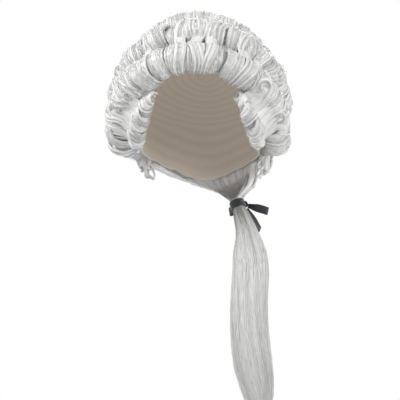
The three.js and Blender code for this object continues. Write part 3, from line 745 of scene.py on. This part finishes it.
def around_neck(start, end, share, bulge):
    """Points on the way from the nape to the tie, round the neck."""
    from_angle = np.arctan2(start[:, 1] - NECK[1], start[:, 0] - NECK[0])
    to_angle = np.arctan2(end[:, 1] - NECK[1], end[:, 0] - NECK[0])
    from_reach = np.hypot(start[:, 1] - NECK[1], start[:, 0] - NECK[0])
    to_reach = np.hypot(end[:, 1] - NECK[1], end[:, 0] - NECK[0])
    angle = mix(from_angle, to_angle, share)
    reach = mix(from_reach, to_reach, share) + bulge
    return np.stack([
        NECK[0] + reach * np.cos(angle),
        NECK[1] + reach * np.sin(angle),
        mix(start[:, 2], end[:, 2], share),
    ], -1)


def starts_at(share):
    """Share of the thickness of combed hair near its start, where it comes from under the curls."""
    return mix(0.2, 1.0, smooth(share, 0, 0.16))


def back_paths(across, layer, sway, stations):
    """Paths of combed hair: across and layer from -1 to 1, from the crown to the tie."""
    place = mix(across, np.sin(across * math.pi / 2), 0.6)
    ribs = np.cos(math.pi * BACK_STRIPS * (across + 1))
    crest = 0.5 * (BACK_CREST + BACK_GROOVE) - 0.5 * (BACK_CREST - BACK_GROOVE) * ribs
    controls = []
    for share in np.linspace(0, BACK_LAST_SHARE, BACK_CONTROLS):
        aim = strip_aim(np.clip(place + sway * math.sin(3 * share), -1, 1), np.full_like(place, share))
        floor = np.where(share > 0.9, NAPE_FLOOR, BACK_FLOOR + BACK_EDGE_LIFT * place**4)
        rise = 0.35 + 0.65 * float(smooth(share, 0.0, 0.2))
        controls.append(on_head(aim, floor + rise * crest * (0.5 + 0.5 * layer)))
    aim = strip_aim(place, np.ones_like(place))
    leave = on_head(aim, NAPE_FLOOR + 0.5 * crest)
    side = unit(np.cross(TIE_AXIS, TIE_OUT))
    out = np.cross(side, TIE_AXIS)
    turn = np.radians(place * TIE_OPEN)[:, None]

    def disc(distance, depth):
        ring = side * np.sin(turn) + out * depth[:, None] * np.cos(turn)
        return TIE + TIE_AXIS * distance + TIE_RADIUS * ring

    target = disc(-TIE_PLUG, np.full_like(place, 0.3))
    for share, bulge, half_thick in GATHER:
        middle = around_neck(leave, target, share, bulge)
        away = np.concatenate([middle[:, :2] - NECK, np.zeros((len(middle), 1))], 1)
        controls.append(middle + unit(away) * (half_thick * layer)[:, None])
    controls.append(disc(-TIE_PLUG, layer))
    controls.append(disc(-0.3, layer))
    return smooth_path(np.stack(controls, 1), stations)


def painted_tie_shadow(share):
    """Painted shadow under the head: how much greyer the queue is near the tie than further down."""
    return 0.95 * (1 - smooth(share, 0.12, 0.4))


def tail_paths(angle, depth, length, wave, stations):
    """Paths of the queue: angle round its section, depth from 0 in its middle to 1 at its skin."""
    side0 = unit(EAR - EAR @ TIE_AXIS * TIE_AXIS)
    out0 = np.cross(side0, TIE_AXIS)
    controls = []
    for distance in (0.3, TIE_PLUG):
        ring = side0 * np.cos(angle)[:, None] + out0 * np.sin(angle)[:, None]
        controls.append(TIE + TIE_AXIS * distance + TIE_RADIUS * depth[:, None] * ring)
    centre = TAIL_SECTIONS[:, :3]
    tangent = unit(np.gradient(centre, axis=0))
    for k in range(len(centre)):
        side = unit(EAR - EAR @ tangent[k] * tangent[k])
        out = np.cross(side, tangent[k])
        turn = angle + math.radians(6 * k)
        sway = math.sin(1.1 * k) + 2.5 * float(smooth(k, 6, 9))
        across = TAIL_SECTIONS[k, 3] * depth * np.cos(turn) + wave * sway
        through = TAIL_SECTIONS[k, 4] * depth * np.sin(turn)
        controls.append(centre[k] + side * across[:, None] + out * through[:, None])
    return smooth_path(np.stack(controls, 1), stations, length)


def add_node(tree, kind, inputs=(), **values):
    """A shader node with its own values and those of its inputs."""
    node = tree.nodes.new(kind)
    for key, value in values.items():
        setattr(node, key, value)
    for key, value in dict(inputs).items():
        node.inputs[key].default_value = value
    return node


def add_ramp(tree, *stops):
    """A colour ramp from stops of position and colour."""
    ramp = add_node(tree, "ShaderNodeValToRGB")
    elements = ramp.color_ramp.elements
    elements[0].position, elements[1].position = stops[0][0], stops[-1][0]
    for position, _ in stops[1:-1]:
        elements.new(position)
    for element, (_, colour) in zip(elements, stops):
        element.color = (*colour, 1)
    return ramp


def join(tree, *links):
    """Links sockets, each given as node, output, node and input."""
    for source, output, target, entry in links:
        tree.links.new(source.outputs[output], target.inputs[entry])


def darker(colour, share):
    return [share * part for part in colour]


def new_material(name, uv_map):
    """A material, its node tree and the UV map that its texture lies on."""
    material = bpy.data.materials.new(name)
    material.use_nodes = True
    tree = material.node_tree
    return material, tree, add_node(tree, "ShaderNodeUVMap", uv_map=uv_map)


def surface(tree, ramp, texture, strength, distance, values):
    """Colours the shader by a ramp, raises it by a texture and sets its other values."""
    shader = tree.nodes["Principled BSDF"]
    bump = add_node(tree, "ShaderNodeBump", {"Strength": strength, "Distance": distance})
    join(tree, (ramp, "Color", shader, "Base Color"), (texture, "Fac", bump, "Height"),
         (bump, "Normal", shader, "Normal"))
    for key, value in values.items():
        shader.inputs[key].default_value = value


def hair_material(settings):
    """White synthetic fibre: fine lines along each strand, a soft gloss, greyer and whiter strands, and a
    darkest stop for painted shadow deep in the hair and near the tie.
    """
    material, tree, uv = new_material("white_hair", "strand")
    shade = add_node(tree, "ShaderNodeAttribute", attribute_name="shade")
    stretch = add_node(tree, "ShaderNodeMapping", {"Scale": (1.1, 0.04, 1)})
    lines = add_node(tree, "ShaderNodeTexNoise", {"Scale": 1.0, "Detail": 1.0})
    total = add_node(tree, "ShaderNodeMath", {1: 0.9}, operation="MULTIPLY_ADD")
    shadow = settings.hair_shadow
    # The lowest stop is painted shadow: the colour of hair deep in the rolls and beds and near the tie.
    ramp = add_ramp(tree, (0.0, darker(shadow, 0.55)), (0.5, shadow), (1.0, settings.hair_light))
    join(tree, (uv, "UV", stretch, "Vector"), (stretch, "Vector", lines, "Vector"), (lines, "Fac", total, 0),
         (shade, "Fac", total, 2), (total, "Value", ramp, "Fac"))
    surface(tree, ramp, lines, 0.55, 0.0005, {
        "Roughness": 0.32, "Specular IOR Level": 0.5, "Subsurface Weight": 0.2, "Subsurface Scale": 0.003,
        "Subsurface Radius": (1.0, 1.0, 1.0)})
    return material


def ribbon_material(settings):
    """Dark satin: a fine cross weave with a soft sheen."""
    material, tree, uv = new_material("dark_satin", "ribbon")
    weave = add_node(tree, "ShaderNodeTexWave", {"Scale": 320, "Distortion": 0.6}, bands_direction="Y")
    colour = settings.ribbon_colour
    ramp = add_ramp(tree, (0.0, darker(colour, 0.55)), (1.0, colour))
    join(tree, (uv, "UV", weave, "Vector"), (weave, "Fac", ramp, "Fac"))
    surface(tree, ramp, weave, 0.25, 0.0002, {"Roughness": 0.34, "Sheen Weight": 0.3})
    return material


def cap_material(settings):
    """Nude stretch net with sewn wefts: rows of thread, and a fine net between them."""
    material, tree, uv = new_material("cap_net", "cloth")
    rows = CAP_WEFTS / CAP_CLOTH[1] / WAVE_REPEAT * 2 * math.pi
    wefts = add_node(tree, "ShaderNodeTexWave", {"Scale": rows}, bands_direction="Y")
    net = add_node(tree, "ShaderNodeTexNoise", {"Scale": 900})
    total = add_node(tree, "ShaderNodeMath", {1: 0.4}, operation="MULTIPLY_ADD")
    colour = settings.cap_colour
    ramp = add_ramp(tree, (0.2, darker(colour, 0.93)), (1.0, colour))
    join(tree, (uv, "UV", wefts, "Vector"), (uv, "UV", net, "Vector"), (net, "Fac", total, 0),
         (wefts, "Fac", total, 2), (total, "Value", ramp, "Fac"))
    surface(tree, ramp, net, 0.5, 0.0005, {"Roughness": 0.85})
    return material


def shaped_grid(name, columns, rows, place, uv_name, size):
    """A grid primitive whose vertices go where place(u, v) says, in millimetres, with a UV map in metres."""
    bpy.ops.object.select_all(action="DESELECT")
    bpy.ops.mesh.primitive_grid_add(x_subdivisions=columns, y_subdivisions=rows, size=1)
    piece = bpy.context.object
    piece.name = name
    mesh = piece.data
    mesh.name = name
    flat = np.empty(len(mesh.vertices) * 3)
    mesh.vertices.foreach_get("co", flat)
    flat = flat.reshape(-1, 3)[:, :2] + 0.5
    corners = np.empty(len(mesh.loops), dtype=np.int64)
    mesh.loops.foreach_get("vertex_index", corners)
    layer = mesh.uv_layers[0] if mesh.uv_layers else mesh.uv_layers.new()
    layer.name = uv_name
    layer.data.foreach_set("uv", (flat[corners] * size).ravel())
    mesh.vertices.foreach_set("co", (place(flat[:, 0], flat[:, 1]) * MM).ravel())
    mesh.update()
    return piece


def thicken(piece, wall, offset, levels):
    """Gives a sheet its wall, and rounds it by subdivision, with both modifiers applied."""
    bpy.ops.object.select_all(action="DESELECT")
    piece.select_set(True)
    bpy.context.view_layer.objects.active = piece
    solid = piece.modifiers.new("wall", "SOLIDIFY")
    solid.thickness = wall
    solid.offset = offset
    if levels:
        rounding = piece.modifiers.new("rounding", "SUBSURF")
        rounding.levels = levels
        rounding.render_levels = levels
    for modifier in list(piece.modifiers):
        bpy.ops.object.modifier_apply(modifier=modifier.name)
    bpy.ops.object.shade_smooth()


def colour(name, description, default):
    """A colour setting."""
    return bpy.props.FloatVectorProperty(
        name=name, description=description, subtype="COLOR", size=3, default=default, min=0, max=1)


class WigSettings(bpy.types.PropertyGroup):
    """Sizes and colours of the wig."""

    hair_light: colour("Hair light", "Colour of the whitest strands", (0.87, 0.87, 0.86))
    hair_shadow: colour("Hair shadow", "Colour of the greyest strands", (0.64, 0.64, 0.645))
    ribbon_colour: colour("Ribbon", "Colour of the satin ribbon", (0.035, 0.038, 0.048))
    cap_colour: colour("Cap", "Colour of the net cap", (0.76, 0.69, 0.61))
    strand_radius: bpy.props.FloatProperty(
        name="Strand radius", description="Radius of a drawn strand", default=0.00028, unit="LENGTH")
    flyaway_share: bpy.props.FloatProperty(
        name="Flyaways", description="Share of the strands that stand away", default=0.1, subtype="FACTOR")
    back_strands: bpy.props.IntProperty(
        name="Back strands", description="Strands drawn on the combed hair", default=1250)
    tail_strands: bpy.props.IntProperty(
        name="Queue strands", description="Strands drawn on the queue", default=760)
    ribbon_width: bpy.props.FloatProperty(
        name="Ribbon width", description="Width of the ribbon", default=0.010, unit="LENGTH")
    ribbon_wall: bpy.props.FloatProperty(
        name="Ribbon thickness", description="Thickness of the ribbon", default=0.0007, unit="LENGTH")
    ambient: bpy.props.FloatProperty(
        name="Ambient", description="Strength of the even studio light", default=0.54)
    key_power: bpy.props.FloatProperty(
        name="Key light", description="Power of the key light", default=21.0, unit="POWER")


class WIG_OT_build_cap(bpy.types.Operator):
    """Builds the net cap with its bound rim and sewn wefts"""

    bl_idname = "wig.build_cap"
    bl_label = "Build Cap"

    def execute(self, context):
        def place(u, v):
            around = 360 * u
            polar = mix(rim_polar(around), POLE, v)
            weft = 0.3 * np.cos(2 * math.pi * CAP_WEFTS * v) ** 8
            binding = 0.5 * (1 - smooth(v, 0.05, 0.07))
            return on_head(bearing(polar, around), 0.9 - weft * (v > 0.08) - binding)

        cap = shaped_grid("cap", 100, 56, place, "cloth", CAP_CLOTH)
        bpy.ops.object.mode_set(mode="EDIT")
        bpy.ops.mesh.select_all(action="SELECT")
        bpy.ops.mesh.remove_doubles(threshold=0.00005)
        bpy.ops.mesh.normals_make_consistent(inside=False)
        bpy.ops.object.mode_set(mode="OBJECT")
        thicken(cap, CAP_SHEET, 1.0, 0)
        cap.data.materials.append(cap_material(context.scene.wig))
        seat(cap, "cap_cloth", "wig_cap")
        return {"FINISHED"}


class WIG_OT_build_curls(bpy.types.Operator):
    """Builds the rows of rolled locks round the face, over the crown and behind the ears"""

    bl_idname = "wig.build_curls"
    bl_label = "Build Curls"

    def execute(self, context):
        settings = context.scene.wig
        material = hair_material(settings)
        for number, row in enumerate(CURL_ROWS):
            rng = np.random.default_rng(SEED + number)
            hair = HairMesh()
            add_roll_core(hair, row, rng)
            for index in range(row["locks"]):
                add_curl_lock(hair, row, index, settings, rng)
            add_loose_curls(hair, row, settings, rng)
            add_swirls(hair, row, settings, rng)
            for sweep in SWEEPS:
                if sweep["lower"] == row["node"]:
                    add_sweep(hair, sweep, settings, rng)
            if row["node"] == "curl_row_front":
                add_ringlets(hair, row, row["start"], LOCK_BEHIND_RIGHT_EAR, settings, rng)
                add_ringlets(hair, row, row["end"], LOCK_BEHIND_LEFT_EAR, settings, rng)
            seat(hair.make("hair_" + row["node"], material), "hair", row["node"])
        return {"FINISHED"}


class WIG_OT_build_back(bpy.types.Operator):
    """Builds the combed hair from the crown round the neck to the tie"""

    bl_idname = "wig.build_back"
    bl_label = "Build Back Hair"

    def execute(self, context):
        settings = context.scene.wig
        rng = np.random.default_rng(SEED + 20)
        hair = HairMesh()
        stations = 24
        middles = (2 * np.arange(BACK_STRIPS) + 1) / BACK_STRIPS - 1
        still = np.zeros(BACK_STRIPS)
        share = np.linspace(0, 1, stations)
        starts = starts_at(share)
        for layer, step, spread, depth in BACK_LAYERS:
            strip = np.clip(middles + step / BACK_STRIPS, -1, 1)
            level = np.full(BACK_STRIPS, layer)
            paths = back_paths(strip, level, still, stations)
            above = back_paths(strip, np.full(BACK_STRIPS, layer + 0.5), still, stations) - paths
            sides = unit(np.cross(above, np.gradient(paths, axis=1)))
            low, high = (np.clip(strip + way / BACK_STRIPS, -1, 1) for way in (-1, 1))
            gap = back_paths(high, level, still, stations) - back_paths(low, level, still, stations)
            width = np.abs((gap * sides).sum(-1))
            width = np.clip(spread * width, 2.0, BACK_STRIP_HALF_WIDTH) * mix(0.6, 1.0, starts)
            width = width * mix(1.0, 0.3, smooth(share, 0.85, 0.97))
            thick = np.broadcast_to(mix(depth, 2.0, smooth(share, 0.5, 0.95)) * starts, width.shape)
            hair.add(paths, sides, width, thick, 12, rng.uniform(0.35, 0.6, BACK_STRIPS))

        clumps, stations = BACK_CLUMPS, 22
        across = np.clip(np.linspace(-1, 1, clumps) + rng.uniform(-0.012, 0.012, clumps), -1, 1)
        paths = back_paths(across, rng.uniform(0.7, 0.92, clumps), rng.uniform(-0.02, 0.02, clumps), stations)
        share = np.linspace(0, 1, stations)
        width = mix(4.0, 1.6, smooth(share, 0.45, 0.95)) * starts_at(share)
        width = width * rng.uniform(0.6, 1.2, (clumps, 1))
        hair.add(paths, np.gradient(paths, axis=0), width, 0.5 * width, 8, rng.uniform(0.3, 0.7, clumps))

        strands, stations = settings.back_strands, 18
        across = rng.uniform(-1, 1, strands)
        layer = rng.uniform(0.92, 1.1, strands)
        layer[: strands // 5] = rng.uniform(-0.9, -0.6, strands // 5)
        paths = back_paths(across, layer, rng.uniform(-0.04, 0.04, strands), stations)
        radius = strand_radii(settings, stations, strands, rng, tip=0.8)
        hair.add(paths, BACK_UPRIGHT, radius, radius, STRAND_SIDES, rng.uniform(0, 1, strands))
        seat(hair.make("hair_back", bpy.data.materials["white_hair"]), "hair", "back_hair")
        return {"FINISHED"}


class WIG_OT_build_queue(bpy.types.Operator):
    """Builds the queue of long strands below the tie"""

    bl_idname = "wig.build_queue"
    bl_label = "Build Queue"

    def execute(self, context):
        settings = context.scene.wig
        rng = np.random.default_rng(SEED + 30)
        hair = HairMesh()
        for clumps, low, high, size, shallow in QUEUE_LAYERS:
            stations = 28
            angle = np.linspace(0, 2 * math.pi, clumps, endpoint=False) + rng.uniform(-0.1, 0.1, clumps)
            depth = rng.uniform(low, high, clumps)
            length = rng.uniform(0.84, 0.98, clumps)
            paths = tail_paths(angle, depth, length, rng.uniform(-1, 1, clumps), stations)
            share = np.linspace(0, 1, stations)
            swell = np.interp(share, QUEUE_SWELL_AT, QUEUE_SWELL)
            width = size * swell * rng.uniform(0.8, 1.2, (clumps, 1))
            # The clumps are greyed near the tie as painted shadow under the head.
            shade = rng.uniform(*QUEUE_SHADE, (clumps, 1)) - painted_tie_shadow(share)
            hair.add(paths, EAR, width, shallow * width, 8, shade)
        strands, stations = settings.tail_strands, 18
        angle = rng.uniform(0, 2 * math.pi, strands)
        depth = rng.uniform(0.94, 1.02, strands)
        length = 1 - 0.26 * rng.random(strands) ** 1.5
        paths = tail_paths(angle, depth, length, rng.uniform(-1.2, 1.2, strands), stations)
        radius = strand_radii(settings, stations, strands, rng, root=0.8, tip=0.35, widest=1.25)
        streak = 0.25 * np.sin(5 * angle + 0.7) + 0.2 * np.sin(11 * angle + 2.0)
        shade = rng.uniform(*QUEUE_SHADE, (strands, 1)) + streak[:, None]
        # The strands are greyed near the tie as painted shadow under the head.
        shade = shade - painted_tie_shadow(np.linspace(0, 1, stations))
        hair.add(paths, EAR, radius, radius, 4, shade)
        seat(hair.make("hair_queue", bpy.data.materials["white_hair"]), "hair", "ponytail")
        return {"FINISHED"}


KNOT_CENTRE = TIE + KNOT_OUT * (SOLID_TIE_RADIUS + SOLID_RIBBON_WALL + 2 * RIBBON_GAP + KNOT_SIZE[2])
KNOT_ACROSS = unit(np.cross(TIE_AXIS, KNOT_OUT))
KNOT_ALONG = np.cross(KNOT_OUT, KNOT_ACROSS)


def knot_seat(forward):
    """Where a ribbon leaves the knot in a direction."""
    axes = (KNOT_ACROSS, KNOT_ALONG, KNOT_OUT)
    parts = [forward @ axis / size for axis, size in zip(axes, KNOT_SIZE)]
    return KNOT_CENTRE + forward * (1 / np.linalg.norm(parts) + RIBBON_GAP)


class WIG_OT_build_ribbon(bpy.types.Operator):
    """Builds the ribbon: its band round the tie, the knot, two loops and two free ends"""

    bl_idname = "wig.build_ribbon"
    bl_label = "Build Ribbon"

    def execute(self, context):
        settings = context.scene.wig
        material = ribbon_material(settings)
        half = 0.5 * settings.ribbon_width / MM
        wall = settings.ribbon_wall

        def finish(piece, node):
            thicken(piece, wall, 0.0, 1)
            piece.data.materials.append(material)
            seat(piece, "ribbon_satin", node)

        side = unit(EAR - EAR @ TIE_AXIS * TIE_AXIS)
        out = np.cross(side, TIE_AXIS)

        def band(u, v):
            turn = 2 * math.pi * u
            crease = 0.25 * np.sin(9 * turn) * np.sin(math.pi * v)
            radius = WRAP_RADIUS + crease + 0.12 * np.cos(2 * math.pi * 3 * v)
            ring = side * np.cos(turn)[:, None] + out * np.sin(turn)[:, None]
            return TIE + TIE_AXIS * (WRAP_WIDTH * (v - 0.5))[:, None] + radius[:, None] * ring

        wrap_flat = (2 * math.pi * WRAP_RADIUS * MM, WRAP_WIDTH * MM)
        wrap = shaped_grid("ribbon_band", 48, 6, band, "ribbon", wrap_flat)
        finish(wrap, "ribbon_wrap")

        def knot(u, v):
            turn = 2 * math.pi * u
            tuck = 1 - 0.25 * (2 * v - 1) ** 2
            crease = 1 + 0.06 * np.sin(5 * turn + 6 * v)
            ring = KNOT_ALONG * (KNOT_BAND_HALF[0] * np.cos(turn) * crease * tuck)[:, None]
            ring = ring + KNOT_OUT * (KNOT_BAND_HALF[1] * np.sin(turn) * crease * tuck)[:, None]
            return KNOT_CENTRE + KNOT_ACROSS * (KNOT_BAND_WIDTH * (v - 0.5))[:, None] + ring

        centre = shaped_grid("ribbon_knot_band", 32, 10, knot, "ribbon", (0.0236, 0.010))
        finish(centre, "ribbon_knot")

        for loop in LOOPS:
            forward = unit(np.array(loop["along"]))
            start = knot_seat(forward)
            up = unit(np.array([0, 0, 1.0]) - forward[2] * forward)
            through = np.cross(forward, up)

            def bow(u, v, loop=loop, forward=forward, start=start, up=up, through=through):
                turn = math.pi * (2 * u - 1)
                reach = 0.5 * (1 + np.cos(turn))
                swell = np.sin(turn) * np.sqrt(reach) * loop["belly"] + np.sign(turn) * (1 - reach)
                width = half * mix(0.6, 1.0, smooth(reach, 0, 0.5))
                fold = 0.5 * (1 - smooth(reach, 0, 0.6)) * np.sin(3 * math.pi * v)
                droop = -1.6 * reach**2
                return (start + forward * (reach * loop["length"])[:, None]
                        + through * (swell + fold)[:, None]
                        + up * (width * (2 * v - 1) + droop)[:, None])

            piece = shaped_grid(loop["node"] + "_satin", 36, 6, bow, "ribbon", (0.058, 0.010))
            finish(piece, loop["node"])

        for end in ENDS:
            forward = unit(np.array(end["along"]))
            start = knot_seat(forward)
            flat_side = unit(np.cross(forward, KNOT_OUT))
            facing = math.radians(end["facing"])
            across = flat_side * math.cos(facing) + np.cross(forward, flat_side) * math.sin(facing)
            normal = np.cross(across, forward)

            def tail(u, v, end=end, forward=forward, start=start, across=across, normal=normal):
                width = half * mix(0.6, 1.0, smooth(u, 0, 0.4))
                slant = 4.5 * (2 * v - 1) * smooth(u, 0.5, 1.0)
                ripple = 0.7 * np.sin(5 * u) * u + 0.5 * (1 - u) * np.sin(3 * math.pi * v)
                return (start + forward * (u * end["length"] + slant)[:, None]
                        + across * (width * (2 * v - 1))[:, None]
                        + normal * ripple[:, None])

            piece = shaped_grid(end["node"] + "_satin", 30, 8, tail, "ribbon", (end["length"] * MM, 0.010))
            finish(piece, end["node"])
        return {"FINISHED"}


class WIG_OT_build_stage(bpy.types.Operator):
    """Builds the pale floor, the studio lights and the camera"""

    bl_idname = "wig.build_stage"
    bl_label = "Build Stage"

    def execute(self, context):
        settings = context.scene.wig

        bpy.ops.object.select_all(action="DESELECT")
        bpy.ops.mesh.primitive_cylinder_add(vertices=96, radius=FLOOR_RADIUS, depth=FLOOR_DEPTH,
                                            location=(0, 0, FLOOR_TOP - FLOOR_DEPTH / 2))
        floor = context.object
        floor.name = "floor"
        bpy.ops.object.transform_apply(location=True)
        paint = bpy.data.materials.new("pale_floor")
        paint.use_nodes = True
        shader = paint.node_tree.nodes["Principled BSDF"]
        shader.inputs["Base Color"].default_value = (0.9, 0.9, 0.9, 1)
        shader.inputs["Roughness"].default_value = 0.8
        floor.data.materials.append(paint)

        world = bpy.data.worlds.new("studio")
        world.use_nodes = True
        background = world.node_tree.nodes["Background"]
        background.inputs["Color"].default_value = (1, 1, 1, 1)
        nodes, links = world.node_tree.nodes, world.node_tree.links
        ray = nodes.new("ShaderNodeLightPath")
        strength = nodes.new("ShaderNodeMapRange")
        strength.inputs["To Min"].default_value = settings.ambient
        strength.inputs["To Max"].default_value = 1.0
        links.new(ray.outputs["Is Camera Ray"], strength.inputs["Value"])
        links.new(strength.outputs["Result"], background.inputs["Strength"])
        context.scene.world = world

        for name, place, target, size, share in LAMPS:
            lamp = bpy.data.lights.new(name, "AREA")
            lamp.size = size
            lamp.energy = share * settings.key_power
            light = bpy.data.objects.new(name, lamp)
            light.location = place
            light.rotation_euler = (Vector(target) - Vector(place)).to_track_quat("-Z", "Y").to_euler()
            context.scene.collection.objects.link(light)

        lens = bpy.data.cameras.new("camera")
        lens.lens = VIEW_LENS
        lens.sensor_width = 36
        lens.clip_end = 20
        camera = bpy.data.objects.new("camera", lens)
        aside = VIEW_DISTANCE * math.sin(VIEW_TURN) - VIEW_ASIDE
        camera.location = (aside, -VIEW_DISTANCE * math.cos(VIEW_TURN), VIEW_HEIGHT)
        camera.rotation_euler = (math.pi / 2, 0, VIEW_TURN)
        context.scene.collection.objects.link(camera)
        context.scene.camera = camera
        context.scene.view_settings.view_transform = "Standard"
        return {"FINISHED"}


class WIG_PT_panel(bpy.types.Panel):
    """Lists the steps that build the wig"""

    bl_label = "Curled Wig"
    bl_idname = "WIG_PT_panel"
    bl_space_type = "VIEW_3D"
    bl_region_type = "UI"
    bl_category = "Wig"

    def draw(self, context):
        for step in STEPS:
            self.layout.operator(step.bl_idname)


STEPS = (
    WIG_OT_build_stage,
    WIG_OT_build_cap,
    WIG_OT_build_curls,
    WIG_OT_build_back,
    WIG_OT_build_queue,
    WIG_OT_build_ribbon,
)
CLASSES = (WigSettings, *STEPS, WIG_PT_panel)


def register():
    for item in CLASSES:
        bpy.utils.register_class(item)
    bpy.types.Scene.wig = bpy.props.PointerProperty(type=WigSettings)


def unregister():
    del bpy.types.Scene.wig
    for item in reversed(CLASSES):
        bpy.utils.unregister_class(item)


def main():
    register()
    bpy.ops.wig.build_stage()
    bpy.ops.wig.build_cap()
    bpy.ops.wig.build_curls()
    bpy.ops.wig.build_back()
    bpy.ops.wig.build_queue()
    bpy.ops.wig.build_ribbon()


if __name__ == "__main__":
    main()
